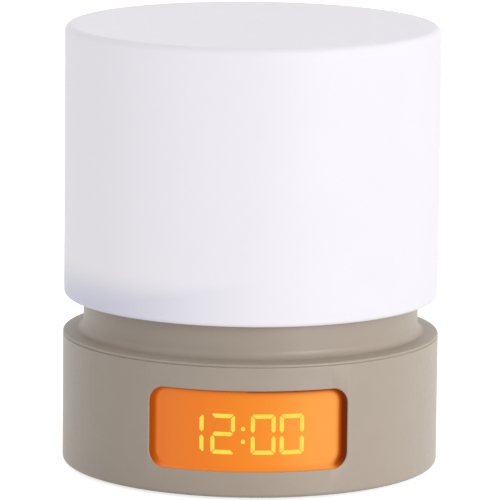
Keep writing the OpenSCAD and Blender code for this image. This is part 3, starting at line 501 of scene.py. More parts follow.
def opal_material():
    # Opal polypropylene, injection moulded: light scatters a few millimetres under a silky skin. Its emission
    # is painted light: faint on the side, strongest left of its middle, and even on the top.
    material, tree, shader, place = start_material("opal_polypropylene")
    parts = add(tree, "ShaderNodeSeparateXYZ", {"Vector": place}).outputs
    # Painted shade over the lowest few millimetres, where the carrier's ring stands inside, most at the
    # clock's left
    rise = add(tree, "ShaderNodeMapRange", {"Value": parts["Z"], "From Min": PAINTED_SHADE_Z[0],
                                            "From Max": PAINTED_SHADE_Z[1]}, interpolation_type="SMOOTHSTEP")
    side = add(tree, "ShaderNodeMapRange", {"Value": parts["X"], "From Min": PAINTED_SHADE_X[0],
                                            "From Max": PAINTED_SHADE_X[1]}, interpolation_type="SMOOTHSTEP")
    clear = add(tree, "ShaderNodeMath", {0: rise.outputs["Result"], 1: side.outputs["Result"]},
                operation="MAXIMUM").outputs["Value"]
    clouds = uneven(tree, place, colours().opal, 0.006, 22 * MM, 2.0)
    # The darker colours below are painted shade, in both the skin and the emission
    skin = add(tree, "ShaderNodeMix", {"Factor": clear, "A": rgba(linear("#ACACB8")), "B": clouds},
               data_type="RGBA")
    glow_and_painted_shade = add(tree, "ShaderNodeMix", {"Factor": clear, "A": rgba(linear("#C8C8D6")),
                                       "B": rgba(linear("#EFEDF2"))}, data_type="RGBA")
    tree.links.new(skin.outputs["Result"], shader.inputs["Base Color"])
    tree.links.new(glow_and_painted_shade.outputs["Result"], shader.inputs["Emission Color"])
    tree.links.new(rough_grain(tree, place, 0.5, 0.03, 1.5 * MM), shader.inputs["Roughness"])
    tree.links.new(relief(tree, place, 0.7 * MM, 0.006 * MM), shader.inputs["Normal"])
    # Painted light over the width of the side, and painted light on the top
    width = add(tree, "ShaderNodeMapRange", {"Value": parts["X"], "From Min": -DRUM_R, "From Max": DRUM_R})
    painted_side_light = add(tree, "ShaderNodeFloatCurve", {"Value": width.outputs["Result"]})
    curve = painted_side_light.mapping.curves[0]
    curve.points[0].location, curve.points[1].location = PAINTED_SIDE_LIGHT[0], PAINTED_SIDE_LIGHT[-1]
    for point in PAINTED_SIDE_LIGHT[1:-1]:
        curve.points.new(*point)
    painted_side_light.mapping.update()
    crown = add(tree, "ShaderNodeMapRange", {"Value": parts["Z"], "From Min": PAINTED_TOP_LIGHT_Z[0],
                                             "From Max": PAINTED_TOP_LIGHT_Z[1]})
    # Strength of the painted light, from the side's share and the top's
    lamp = add(tree, "ShaderNodeMix", {"Factor": crown.outputs["Result"], "A": painted_side_light.outputs["Value"],
                                       "B": PAINTED_TOP_LIGHT}, data_type="FLOAT")
    tree.links.new(lamp.outputs["Result"], shader.inputs["Emission Strength"])
    shader.inputs["Subsurface Weight"].default_value = 0.25
    shader.inputs["Subsurface Radius"].default_value = (1.0, 0.96, 1.0)
    shader.inputs["Subsurface Scale"].default_value = 3 * MM
    shader.inputs["Specular IOR Level"].default_value = 0.25
    shader.inputs["IOR"].default_value = 1.49
    return material


def colour_steps(tree, value, steps):
    """A colour that follows a value through steps of (place, sRGB hex)."""
    ramp = add(tree, "ShaderNodeValToRGB", {"Fac": value})
    elements = ramp.color_ramp.elements
    for place, _ in steps[2:]:
        elements.new(place)
    # A moved element changes its rank, so the colours come after the places
    for element, (place, _) in zip(sorted(elements, key=lambda e: e.position), steps):
        element.position = place
    for element, (_, hex_colour) in zip(sorted(elements, key=lambda e: e.position), steps):
        element.color = rgba(linear(hex_colour))
    return ramp.outputs["Color"]


def lit_sheet(tree, shader, sheet_colour):
    """Splits a colour between a sheet's own glow and the light that it scatters back."""
    tree.links.new(sheet_colour, shader.inputs["Emission Color"])
    shader.inputs["Emission Strength"].default_value = LIT_SHARE
    own = add(tree, "ShaderNodeMix", {"Factor": LIT_SHARE, "A": sheet_colour, "B": (0, 0, 0, 1)},
              data_type="RGBA")
    tree.links.new(own.outputs["Result"], shader.inputs["Base Color"])
    shader.inputs["Specular IOR Level"].default_value = 0.06


def amber_material():
    # Amber polycarbonate sheet, injection moulded with a matte front, lit from behind by the light box.
    # The glow attribute holds that light with painted shade: 1 on the sheet, less on its walls and under the
    # upper rim.
    material, tree, shader, place = start_material("amber_polycarbonate")
    glow_and_painted_shade = add(tree, "ShaderNodeAttribute", attribute_name="glow_and_painted_shade").outputs["Fac"]
    across = add(tree, "ShaderNodeSeparateXYZ", {"Vector": place}).outputs["X"]
    along = add(tree, "ShaderNodeMapRange", {"Value": across, "From Min": -SHEET_HALF,
                                             "From Max": SHEET_HALF})
    # Painted light: the sheet's colours grow lighter towards the right, where the key light falls
    sheet = colour_steps(tree, along.outputs["Result"], SHEET_STEPS)
    # Wall colours from the least lit to the most, as painted shade
    wall = colour_steps(tree, glow_and_painted_shade, WALL_STEPS)
    reach = add(tree, "ShaderNodeMapRange", {"Value": glow_and_painted_shade, "From Min": SHEET_GLOW, "From Max": 1.0})
    body = add(tree, "ShaderNodeMix", {"Factor": reach.outputs["Result"], "A": wall, "B": sheet},
               data_type="RGBA")
    lit_sheet(tree, shader, body.outputs["Result"])
    tree.links.new(rough_grain(tree, place, 0.4, 0.03, 1 * MM), shader.inputs["Roughness"])
    tree.links.new(relief(tree, place, 0.5 * MM, 0.004 * MM), shader.inputs["Normal"])
    shader.inputs["IOR"].default_value = 1.585
    return material


def digit_material():
    # Clear acrylic light guides behind the sheet: an even yellow light.
    material, tree, shader, place = start_material("light_guide_yellow")
    lit_sheet(tree, shader, uneven(tree, place, colours().digit, 0.02, 3 * MM))
    tree.links.new(rough_grain(tree, place, 0.45, 0.03, 1 * MM), shader.inputs["Roughness"])
    return material


def rubber_material():
    # Silicone rubber, compression moulded: dark and dull, with a fine sandy skin.
    return moulded("silicone_foot", linear("#2A2928"), 0.8, grain=0.6 * MM, height=0.03 * MM, spread=0.05,
                   ior=1.41)


def cell_sleeve_material():
    # Shrink sleeve of a bare cell: glossy film over the can.
    return moulded("cell_sleeve", linear("#B8642A"), 0.28, grain=1.5 * MM, height=0.01 * MM, spread=0.03)


def board_material(name, base):
    """A glass-epoxy board under solder mask: satin, with the weave just showing through."""
    material, tree, shader, place = start_material(name)
    # The wave's period is 0.314 of this length, so the weave is drawn at 0.7 mm
    pitch = 2.2 * MM
    weave = add(tree, "ShaderNodeTexWave", {"Vector": place, "Scale": 1 / pitch, "Distortion": 0.6},
                bands_direction="DIAGONAL")
    ramp = add(tree, "ShaderNodeValToRGB", {"Fac": weave.outputs["Fac"]})
    ramp.color_ramp.elements[0].color = rgba(base, 0.9)
    ramp.color_ramp.elements[1].color = rgba(base, 1.1)
    tree.links.new(ramp.outputs["Color"], shader.inputs["Base Color"])
    tree.links.new(rough_grain(tree, place, 0.35, 0.05, 1 * MM), shader.inputs["Roughness"])
    tree.links.new(relief(tree, place, 0.8 * MM, 0.008 * MM), shader.inputs["Normal"])
    return material


def make_finishes():
    """One finish for each material slot of the record."""
    return {
        "taupe_shell": shell_material(),
        "taupe_plate": plate_material(),
        "opal_diffuser": opal_material(),
        # Polystyrene, moulded white inner parts: clean and slightly glossy
        "white_moulding": moulded("polystyrene_white", linear("#ECEAE4"), 0.42),
        "display_amber": amber_material(),
        "digit_yellow": digit_material(),
        # Keys in the shell's ABS from a smoother mould
        "key_taupe": moulded("abs_key_taupe", linear("#988D80"), 0.45, height=0.006 * MM),
        # Slider in dark ABS
        "slider_grey": moulded("abs_slider_grey", linear("#6F675D"), 0.5),
        # Acetal plungers: milky and waxy
        "plunger_white": moulded("acetal_plunger", linear("#DEDAD0"), 0.35, grain=0.6 * MM,
                                 height=0.004 * MM),
        "foot_rubber": rubber_material(),
        # Zinc-plated steel screws, cold headed
        "screw_steel": turned_metal("zinc_plated_steel", linear("#B9BBBD"), 0.32),
        # Nickel-plated spring steel contacts, stamped
        "contact_plate": turned_metal("nickel_plated_contact", linear("#C4BFB2"), 0.26),
        # Drawn spring wire
        "spring_steel": turned_metal("drawn_spring_wire", linear("#A9ABAE"), 0.3, 0.15 * MM),
        "cell_jacket": cell_sleeve_material(),
        "circuit_board": board_material("glass_epoxy_green", linear("#1F6B45")),
        "lamp_board_white": board_material("aluminium_board_white", linear("#E8E8E4")),
        # Transfer-moulded epoxy: matte black with a sandy skin
        "black_component": moulded("epoxy_black", linear("#232427"), 0.6, grain=0.4 * MM, height=0.01 * MM,
                                   spread=0.04),
        # Coated paper and pressed steel of a small speaker
        "speaker_black": moulded("speaker_coated_black", linear("#2B2A2A"), 0.65, grain=0.8 * MM,
                                 height=0.02 * MM, spread=0.06),
        # Emitters: silicone over a white body
        "led_body": moulded("led_silicone", linear("#F0E3A6"), 0.3, grain=0.4 * MM, height=0.003 * MM,
                            spread=0.03, ior=1.41),
        # Polyester flat cable
        "ribbon_white": moulded("polyester_flat_cable", linear("#D8D4CB"), 0.4, grain=1.2 * MM,
                                height=0.01 * MM, spread=0.03),
    }


class ClockOperator(bpy.types.Operator):
    """Common ground of the clock's operators"""
    bl_options = {"REGISTER", "UNDO"}


class CLOCK_OT_finishes(ClockOperator):
    """Give every CAD node the procedural finish of its material slot"""
    bl_idname = "clock.finishes"
    bl_label = "Node finishes"

    def execute(self, context):
        FINISHES.update(make_finishes())
        for slot in frame["record"]["materials"]:
            if slot["slot"] not in FINISHES:
                raise RuntimeError("no finish for slot " + slot["slot"])
        for part in frame["record"]["subparts"]:
            node = frame["nodes"][part["node"]]
            if not node.material_slots:
                node.data.materials.append(None)
            for holder in node.material_slots:
                holder.material = FINISHES[part["material_slot"]]
        return {"FINISHED"}


class CLOCK_OT_camera(ClockOperator):
    """Set the camera where the photograph was taken from"""
    bl_idname = "clock.camera"
    bl_label = "Camera"

    def execute(self, context):
        # Distance and height in metres, angles in radians: pitch looks down, azimuth stands to the right
        distance, rise, pitch, roll = 1.38036, 0.30198, 0.17330, 0.01019
        azimuth, yaw = math.radians(0.45), 0.00026
        data = bpy.data.cameras.new("photo_camera")
        # Focal length of 4990.97 pixels on a frame of 500, with a 36 mm sensor
        data.sensor_width, data.lens = 36.0, 36.0 * 4990.97 / 500
        data.clip_start, data.clip_end = 0.05, 20
        camera = bpy.data.objects.new("photo_camera", data)
        context.scene.collection.objects.link(camera)
        turn = Matrix.Rotation(azimuth + yaw, 4, "Z") @ Matrix.Rotation(math.pi / 2 - pitch, 4, "X")
        place = Matrix.Translation((distance * math.sin(azimuth), -distance * math.cos(azimuth), rise))
        camera.matrix_world = place @ turn @ Matrix.Rotation(roll, 4, "Z")
        context.scene.camera = camera
        return {"FINISHED"}


class CLOCK_OT_drum(ClockOperator):
    """Build the opal drum"""
    bl_idname = "clock.drum"
    bl_label = "Opal drum"

    def execute(self, context):
        s = sizes()
        inner, roof = DRUM_R - s.drum_wall, TOP_Z - s.drum_top
        inner_rim_round, inner_crown_round = 0.4 * MM, 1.2 * MM
        bm = spun([(inner, RIM_Z), (DRUM_R, RIM_Z), (DRUM_R, TOP_Z), (0, TOP_Z), (0, roof), (inner, roof)])
        round_edges(bm, ring_edges(bm, DRUM_R, TOP_Z), s.crown_round, 10)
        round_edges(bm, ring_edges(bm, DRUM_R, RIM_Z), s.drum_rim_round, 8)
        round_edges(bm, ring_edges(bm, inner, RIM_Z), inner_rim_round, 3)
        round_edges(bm, ring_edges(bm, inner, roof), inner_crown_round, 5)
        finish_piece(new_piece("opal_drum", bm), "diffuser", "opal_diffuser", ["diffuser"])
        return {"FINISHED"}


def window_cutter():
    """A prism through the base's wall, its walls square to it and its mouth flared to round the rim."""
    s = sizes()
    width, height = 2 * WINDOW_ANGLE * BASE_R, s.window_high - s.window_low
    before, out, behind, steepest = -2 * MM, 0.3 * MM, 6 * MM, 75
    flare = []
    for turn in range(steepest, -1, -15):
        angle = math.radians(turn)
        flare.append((s.rim_round * (1 - math.cos(angle)), s.rim_round * (1 - math.sin(angle))))
    # The mouth's slope goes on past the wall's surface, then straight out
    mouth = flare[0][0] + (flare[0][1] + out) * math.tan(math.radians(steepest))
    levels = [(mouth, before), (mouth, -out)] + flare + [(0, behind)]
    bm = bmesh.new()
    rings = []
    for grow, depth in levels:
        made = rounded_rectangle(bm, width + 2 * grow, height + 2 * grow, s.window_corner + grow, 12,
                                 (0, (s.window_high + s.window_low) / 2))
        bmesh.ops.translate(bm, vec=(0, depth, 0), verts=made)
        rings.append(made)
    # The faces of the rings between the two ends go, and walls join the rings
    inner = [f for f in bm.faces if all(f not in v.link_faces for v in rings[0] + rings[-1])]
    bmesh.ops.delete(bm, geom=inner, context="FACES_ONLY")
    edges = [{e for v in ring for e in v.link_edges} for ring in rings]
    for upper, lower in zip(edges, edges[1:]):
        bmesh.ops.bridge_loops(bm, edges=list(upper | lower))
    slice_up(bm, FULL_TURN * BASE_R / STEPS)
    wrap(bm, BASE_R)
    bmesh.ops.recalc_face_normals(bm, faces=bm.faces)
    return new_piece("window_cutter", bm)


def rear_cutter(name, centre, size, corner, depths, segments=8, lean=False):
    """A prism along Y at the back of the base, or one that follows the drum where lean is set."""
    bm = bmesh.new()
    rounded_rectangle(bm, *size, corner, segments, centre)
    if lean:
        strip = 0.8 * MM
        slice_up(bm, strip)
    bmesh.ops.translate(bm, vec=(0, depths[0], 0), verts=bm.verts)
    push(bm, bm.faces[:], depths[1] - depths[0])
    if lean:
        wrap(bm, BASE_R, front=False)
    bmesh.ops.recalc_face_normals(bm, faces=bm.faces)
    return new_piece(name, bm)


class CLOCK_OT_base(ClockOperator):
    """Build the base's shell with its window and its key band"""
    bl_idname = "clock.base"
    bl_label = "Base shell"

    def execute(self, context):
        s = sizes()
        inner, roof = BASE_R - s.base_wall, SHOULDER_Z - ROOF
        edge, groove_r = SHOULDER_Z - s.shoulder_drop, BASE_R - s.seam_depth
        upper, lower = s.seam_z + s.seam_gap / 2, s.seam_z - s.seam_gap / 2
        bm = spun([(inner, BASE_LOW), (BASE_R, BASE_LOW), (BASE_R, lower), (groove_r, lower),
                   (groove_r, upper), (BASE_R, upper), (BASE_R, edge), (NECK_R, SHOULDER_Z),
                   (s.roof_hole, SHOULDER_Z), (s.roof_hole, roof), (inner, roof)])
        round_edges(bm, ring_edges(bm, BASE_R, edge), s.shoulder_round, 6)
        round_edges(bm, ring_edges(bm, BASE_R, lower), s.seam_round, 4)
        round_edges(bm, ring_edges(bm, BASE_R, BASE_LOW), s.base_foot_round, 6)
        piece = new_piece("base_shell_drum", bm)
        carve(piece, window_cutter(), *self.rear_cutters())
        finish_piece(piece, "base", "taupe_shell", ["base_shell"])
        return {"FINISHED"}

    def rear_cutters(self):
        """Cutters of the key band, the key holes, the slider's slot and the inlet's hole."""
        # Half the band's width straight across, and its size along the drum, its corner and its depths
        half_width, band_corner, band_depths = 25.75 * MM, 1.2 * MM, (-2 * MM, 1 * MM)
        band = (2 * math.asin(half_width / BASE_R) * BASE_R, 10.4 * MM)
        cutters = [rear_cutter("band", (0, KEY_Z), band, band_corner, band_depths, 6, True)]
        # Size and corner of a key hole, and the places along Y between which a cutter goes through the wall
        hole, hole_corner, through = 6.5 * MM, 3.249 * MM, (40 * MM, 60 * MM)
        for name in KEYS:
            place = (halfway(name + "_key", 0), KEY_Z)
            cutters.append(rear_cutter("key_hole", place, (hole, hole), hole_corner, through, 12))
        # The slot is clear of the slider by a quarter of a millimetre, and holds its 3 mm of travel
        bottom, top = low("alarm_slider", 2) - 0.25 * MM, high("alarm_slider", 2) + 3.25 * MM
        slot, slot_corner, slot_depths = (3.5 * MM, top - bottom), 0.3 * MM, (30 * MM, 60 * MM)
        place = (halfway("alarm_slider", 0), (bottom + top) / 2)
        cutters.append(rear_cutter("slider_slot", place, slot, slot_corner, slot_depths, 3))
        inlet, inlet_corner = (9.5 * MM, 3.7 * MM), 1.849 * MM
        place = (0, halfway("power_inlet", 2))
        cutters.append(rear_cutter("inlet_hole", place, inlet, inlet_corner, through))
        return cutters


def round_shape(radius, u=0.0, v=0.0, start=0, end=360, count=20):
    """Points of a circle or an arc."""
    turns = [math.radians(start + (end - start) * i / count) for i in range(count + (end - start < 360))]
    return [(u + radius * math.cos(t), v + radius * math.sin(t)) for t in turns]


class CLOCK_OT_neck(ClockOperator):
    """Build the neck with its hollow foot"""
    bl_idname = "clock.neck"
    bl_label = "Neck"

    def execute(self, context):
        s = sizes()
        inner, roof, flange_z = NECK_R - s.neck_wall, SHOULDER_Z - ROOF, SHOULDER_Z + 2 * MM
        skirt, skirt_wall = 37.7 * MM, 2 * MM
        skirt_in = skirt - skirt_wall
        # Upper face and thickness of the floor under the lamp
        floor, deck = NECK_Z - 1.8 * MM, 2 * MM
        # The hollow foot touches the neck's wall and the falling shoulder
        fall = math.atan(s.shoulder_drop / (BASE_R - NECK_R))
        rise = s.neck_fillet * (math.cos(fall) - (1 - math.sin(fall)) * math.tan(fall))
        profile = [(skirt_in, roof), (skirt, roof), (skirt, SHOULDER_Z), (NECK_R, SHOULDER_Z)]
        profile += round_shape(s.neck_fillet, NECK_R + s.neck_fillet, SHOULDER_Z + rise,
                               270 - math.degrees(fall), 180, 12)
        profile += [(NECK_R, NECK_Z), (inner, NECK_Z), (inner, floor), (0, floor), (0, floor - deck),
                    (inner, floor - deck), (inner, flange_z), (skirt_in, flange_z)]
        piece = new_piece("neck_collar", spun(profile))
        # Holes in the floor for the carrier's three legs, the lamp board's two screws and its wires
        leg_ring, leg_hole = 36 * MM, 2.75 * MM
        screw_x, screw_hole, wire_hole = 20.5 * MM, 1.05 * MM, 3 * MM
        holes = [(leg_ring * math.cos(math.radians(a)), leg_ring * math.sin(math.radians(a)), leg_hole)
                 for a in (90, 210, 330)]
        holes += [(-screw_x, 0, screw_hole), (screw_x, 0, screw_hole),
                  (0, halfway("lamp_wires", 1), wire_hole)]
        bm = bmesh.new()
        for x, y, radius in holes:
            rod(bm, (x, y, floor - deck / 2), radius, 1.5 * deck, "Z")
        carve(piece, new_piece("leg_holes", bm))
        finish_piece(piece, "base", "taupe_shell", ["neck"])
        return {"FINISHED"}


class CLOCK_OT_display(ClockOperator):
    """Build the amber tray that fills the window"""
    bl_idname = "clock.display"
    bl_label = "Amber display"

    def execute(self, context):
        s = sizes()
        # Clearance round the tray, the sheet's thickness and the depth of the tray's front edge
        gap, sheet, rim = 0.03 * MM, 0.6 * MM, s.rim_round - 0.05 * MM
        width = 2 * (WINDOW_ANGLE * BASE_R - gap)
        height = s.window_high - s.window_low - 2 * gap
        depth, middle = BASE_R - LENS_R, (s.window_high + s.window_low) / 2
        bm = bmesh.new()
        rounded_rectangle(bm, width, height, s.window_corner - gap, 12, (0, middle))
        bmesh.ops.translate(bm, vec=(0, rim, 0), verts=bm.verts)
        front = bm.faces[:][0]
        push(bm, [front], depth + sheet - rim, keep=True)
        bmesh.ops.inset_region(bm, faces=[front], thickness=s.tray_wall, use_even_offset=True)
        pocket = push(bm, [front], depth - rim)
        if front.is_valid:
            bmesh.ops.delete(bm, geom=[front], context="FACES_ONLY")
        corner = [e for f in pocket if isinstance(f, bmesh.types.BMFace) for e in f.edges]
        round_edges(bm, corner, s.tray_fillet, 6)
        # Strips of these widths in millimetres along the surface, in depth and in height
        for spacing, axis in ((0.65, 0), (0.4, 1), (0.6, 2)):
            slice_up(bm, spacing * MM, axis)
        self.paint_glow_and_shade(bm, s, width, height, depth)
        wrap(bm, BASE_R)
        bmesh.ops.remove_doubles(bm, verts=bm.verts, dist=MERGE)
        bmesh.ops.recalc_face_normals(bm, faces=bm.faces)
        finish_piece(new_piece("amber_tray", bm), "base", "display_amber", ["display_lens"], 50)
        return {"FINISHED"}

    def paint_glow_and_shade(self, bm, s, width, height, depth):
        """Writes how much of the light box's glow reaches each point, with painted shade by each wall's side
        and under the upper rim.
        """
        layer = bm.verts.layers.float.new("glow_and_painted_shade")
        middle = (s.window_high + s.window_low) / 2
        half_x, half_z = width / 2 - s.tray_wall, height / 2 - s.tray_wall
        for v in bm.verts:
            x, z = v.co.x, v.co.z - middle
            # Share of each side wall in this point, from the straight walls round the corners
            beside = smooth((abs(x) - half_x + s.window_corner) / s.window_corner)
            below = smooth((abs(z) - half_z + s.window_corner) / s.window_corner) if z < 0 else 0.0
            # Painted light on the left wall and painted shade on the right one, by how they face the lamps
            wall = PAINTED_LIGHT_LEFT if x < 0 else PAINTED_LIGHT_RIGHT
            wall += (PAINTED_LIGHT_BOTTOM - wall) * below * (1 - beside * GLOW_LOSS)
            wall *= GLOW_FRONT + (1 - GLOW_FRONT) * min(1.0, v.co.y / (depth - s.tray_fillet))
            climbed = min(max((v.co.y - depth + s.tray_fillet) / s.tray_fillet, 0.0), 1.0)
            climbed = smooth(math.asin(climbed) / (math.pi / 2))
            # Painted shadow under the window's upper rim
            painted_rim_shadow = smooth((half_z - z) / RIM_SHADOW_HEIGHT) * RIM_SHADOW_DIP + 1 - RIM_SHADOW_DIP
            v[layer] = wall + (painted_rim_shadow - wall) * climbed


def bar_outlines(s):
    """Outlines of a digit's top, upper right and middle bar, about its middle."""
    w, h, t = s.digit_width / 2, s.digit_height / 2, s.stroke
    half, cut = t / 2, t / 4
    back, tip, reach = s.bar_gap / math.sqrt(2), s.middle_gap / 2, w - half
    end = w - back
    top = [(2 * cut - end, h), (end - 2 * cut, h), (end - cut, h - cut), (end - t, h - t), (t - end, h - t),
           (cut - end, h - cut)]
    side = [(w, h - back - 2 * cut), (w - cut, h - back - cut), (w - t, h - back - t), (w - t, tip + half),
            (w - half, tip), (w, tip + half)]
    middle = [(-reach, 0), (half - reach, half), (reach - half, half), (reach, 0), (reach - half, -half),
              (half - reach, -half)]
    return top, side, middle


class CLOCK_OT_digits(ClockOperator):
    """Build the lit bars of the time"""
    bl_idname = "clock.digits"
    bl_label = "Lit digits"

    def execute(self, context):
        s = sizes()
        # Thickness of the bars and how far they sink into the sheet, and the colon's dots
        thickness, sunk = 0.1 * MM, 0.02 * MM
        dot_r, dot_z, dot_rise = 0.6 * MM, s.digit_middle - 0.25 * MM, 1.8 * MM
        bm = bmesh.new()
        top, side, middle = bar_outlines(s)
        # Bars of a digit: top, upper right, lower right, bottom, lower left, upper left, middle
        bars = [(top, 1, 1), (side, 1, 1), (side, 1, -1), (top, 1, -1), (side, -1, -1), (side, -1, 1),
                (middle, 1, 1)]
        for along, lit in DIGITS:
            for outline, turn_x, turn_z in (bars[i] for i in lit):
                points = [(along + x * turn_x, 0, s.digit_middle + z * turn_z) for x, z in outline]
                bm.faces.new([bm.verts.new(p) for p in points])
        for turn in (-1, 1):
            dot = bmesh.ops.create_circle(bm, cap_ends=True, segments=24, radius=dot_r)["verts"]
            bmesh.ops.rotate(bm, cent=(0, 0, 0), matrix=Matrix.Rotation(math.pi / 2, 3, "X"), verts=dot)
            bmesh.ops.translate(bm, vec=(COLON_X, 0, dot_z + turn * dot_rise), verts=dot)
        slice_up(bm, 1 * MM)
        bmesh.ops.recalc_face_normals(bm, faces=bm.faces)
        push(bm, bm.faces[:], -thickness)
        bmesh.ops.translate(bm, vec=(0, sunk, 0), verts=bm.verts)
        wrap(bm, LENS_R)
        bmesh.ops.recalc_face_normals(bm, faces=bm.faces)
        finish_piece(new_piece("lit_bars", bm), "base", "digit_yellow", ["digit_bars"])
        return {"FINISHED"}


def follow_back(bm, x, z):
    """Moves a shape to a key's place at the back. Y is the depth, and past the flange it stays flat."""
    for v in bm.verts:
        across, depth = v.co.x + x, v.co.y
        surface = math.sqrt(KEY_R ** 2 - across ** 2) if depth < FLANGE_DEPTH[1] + NEAR else KEY_R
        v.co = Vector((across, surface - depth, v.co.z + z))
    bmesh.ops.recalc_face_normals(bm, faces=bm.faces)


def raise_shape(bm, points):
    """A raised figure on a key, from an outline in millimetres as it is seen from behind the clock."""
    top, foot = 0.03 * MM, 0.5 * MM
    face = bm.faces.new([bm.verts.new((-u * MM, top, v * MM)) for u, v in points])
    push(bm, [face], foot - top, keep=True)


def bar(u0, v0, u1, v1):
    """Corners of a rectangle."""
    return [(u0, v0), (u1, v0), (u1, v1), (u0, v1)]


def ring_parts(outer, inner, count=20):
    """A ring as a row of small quadrilaterals."""
    far, near = round_shape(outer, count=count), round_shape(inner, count=count)
    return [[far[i - 1], far[i], near[i], near[i - 1]] for i in range(count)]


def key_figures():
    """Raised figures of the keys in millimetres: clock face, bell, plus, minus and bulb."""
    bell = [(-1.15, -0.7), (1.15, -0.7), (0.85, -0.35)]
    bell += round_shape(0.8, 0, 0.3, 0, 180, 12) + [(-0.85, -0.35)]
    return {
        "time": ring_parts(1.5, 1.2) + [bar(-0.13, -0.13, 0.13, 0.95), bar(0.13, -0.13, 0.75, 0.13)],
        "alarm": [bell, round_shape(0.26, 0, -1.0), round_shape(0.18, 0, 1.25)],
        "plus": [bar(-1.25, -0.2, 1.25, 0.2), bar(-0.2, 0.2, 0.2, 1.25), bar(-0.2, -1.25, 0.2, -0.2)],
        "minus": [bar(-1.25, -0.2, 1.25, 0.2)],
        "light": [round_shape(0.85, 0, 0.35), bar(-0.42, -0.78, 0.42, -0.6), bar(-0.32, -1.1, 0.32, -0.92)],
    }


class CLOCK_OT_keys(ClockOperator):
    """Build the five keys on the back"""
    bl_idname = "clock.keys"
    bl_label = "Keys"

    def execute(self, context):
        s = sizes()
        flange_r = (high("time_key", 0) - low("time_key", 0)) / 2
        cap_r, edge, stem_r = flange_r - 0.75 * MM, s.key_chamfer, 1.5 * MM
        back, stem_end = KEY_R - FLANGE_BACK, KEY_R - low("time_key", 1)
        near, far = FLANGE_DEPTH
        # The front is a shallow dish with a round edge
        profile = [(0, 0.24 * MM), (0.9 * MM, 0.21 * MM), (1.7 * MM, 0.13 * MM), (cap_r - edge, 0)]
        profile += [(cap_r - edge * (1 - math.sin(turn)), edge * (1 - math.cos(turn)))
                    for turn in (0.4, 0.8, 1.2, math.pi / 2)]
        profile += [(cap_r, near), (flange_r, near), (flange_r, far), (cap_r, far), (cap_r, back),
                    (stem_r, back), (stem_r, stem_end), (0, stem_end)]
        figures = key_figures()
        for name in KEYS:
            bm = spun(profile, 48, True)
            for outline in figures[name]:
                raise_shape(bm, outline)
            follow_back(bm, halfway(name + "_key", 0), KEY_Z)
            finish_piece(new_piece(name + "_cap", bm), name + "_key", "key_taupe", [name + "_key"])
        return {"FINISHED"}


class CLOCK_OT_slider(ClockOperator):
    """Build the ribbed alarm slider"""
    bl_idname = "clock.slider"
    bl_label = "Alarm slider"

    def execute(self, context):
        x0, x1 = low("alarm_slider", 0), high("alarm_slider", 0)
        z0, z1 = low("alarm_slider", 2), high("alarm_slider", 2)
        x, z, half = (x0 + x1) / 2, (z0 + z1) / 2, (x1 - x0) / 2
        back, stem_end = KEY_R - FLANGE_BACK, KEY_R - low("alarm_slider", 1)
        # Depth of the cap's front, its edge radius, half the stem's width and how far it starts in the cap
        front, cap_round, stem_half, overlap = 0.35 * MM, 0.2 * MM, 1 * MM, 0.5 * MM
        ribs, rib_pitch, rib_depth, rib_r, rib_round = 4, 0.68 * MM, 0.37 * MM, 0.24 * MM, 0.08 * MM
        rib_half = half - 0.3 * MM
        bm = bmesh.new()
        block(bm, (-half, front, z0 - z), (half, back, z1 - z), cap_round)
        block(bm, (-stem_half, back - overlap, z0 - z), (stem_half, stem_end, z1 - z))
        for i in range(ribs):
            rib_z = (i - (ribs - 1) / 2) * rib_pitch
            rod(bm, (0, rib_depth, rib_z), rib_r, rib_half, "X", rib_round, 16)
        follow_back(bm, x, z)
        finish_piece(new_piece("alarm_slider_cap", bm), "alarm_slider", "slider_grey", ["alarm_slider"])
        return {"FINISHED"}


def soft_corner(radius, z):
    """Points of a rounded lower corner in the profile of a foot or a screw's head."""
    size, between = 0.35 * MM, 0.1 * MM
    return [(radius - size, z), (radius - between, z + between), (radius, z + size)]


def four_places(node, radius):
    """Places of four round pieces of one radius, from the CAD node that holds them."""
    x, y = high(node, 0) - radius, high(node, 1) - radius
    return [(i * x, j * y, 0) for i in (-1, 1) for j in (-1, 1)]


class CLOCK_OT_feet(ClockOperator):
    """Build the rubber feet and the base screws"""
    bl_idname = "clock.feet"
    bl_label = "Feet and screws"

    def execute(self, context):
        # Depth, radius and sloping edge of the hollow in a foot's underside
        hollow, hollow_r, slope = 0.25 * MM, 3.6 * MM, 0.2 * MM
        foot_r, top = 5 * MM, high("feet", 2)
        bm = spun([(0, hollow), (hollow_r, hollow), (hollow_r + slope, 0), *soft_corner(foot_r, 0),
                   (foot_r, top), (0, top)], 64)
        copies(bm, four_places("feet", foot_r))
        finish_piece(new_piece("rubber_feet", bm), "base", "foot_rubber", ["feet"])

        # Radii of a screw's head and shank, height of its head and length of its tip
        head_r, shank_r, head, tip = 2.7 * MM, 1.4 * MM, 1.6 * MM, 1 * MM
        bottom, end = low("base_screws", 2), high("base_screws", 2)
        bm = spun([(0, bottom), *soft_corner(head_r, bottom), (head_r, bottom + head),
                   (shank_r, bottom + head), (shank_r, end - tip), (0, end)], 40)
        places = four_places("base_screws", head_r)
        copies(bm, places)
        screws = new_piece("cross_head_screws", bm)
        # Cross recess: half the thickness of its two blades, and half their length deep down and at the mouth
        blade_half, deep_half, open_half = 0.28 * MM, 0.82 * MM, 1.5 * MM
        deep_z, open_z = bottom + 1.1 * MM, bottom - 0.5 * MM
        blades = []
        for long, broad in ((0, 1), (1, 0)):
            bm = bmesh.new()
            for v in bmesh.ops.create_cube(bm, size=2)["verts"]:
                deep = v.co.z > 0
                v.co[long] *= deep_half if deep else open_half
                v.co[broad] *= blade_half
                v.co.z = deep_z if deep else open_z
            copies(bm, places)
            blades.append(new_piece("recess", bm))
        carve(screws, *blades)
        finish_piece(screws, "base", "screw_steel", ["base_screws"])
        return {"FINISHED"}


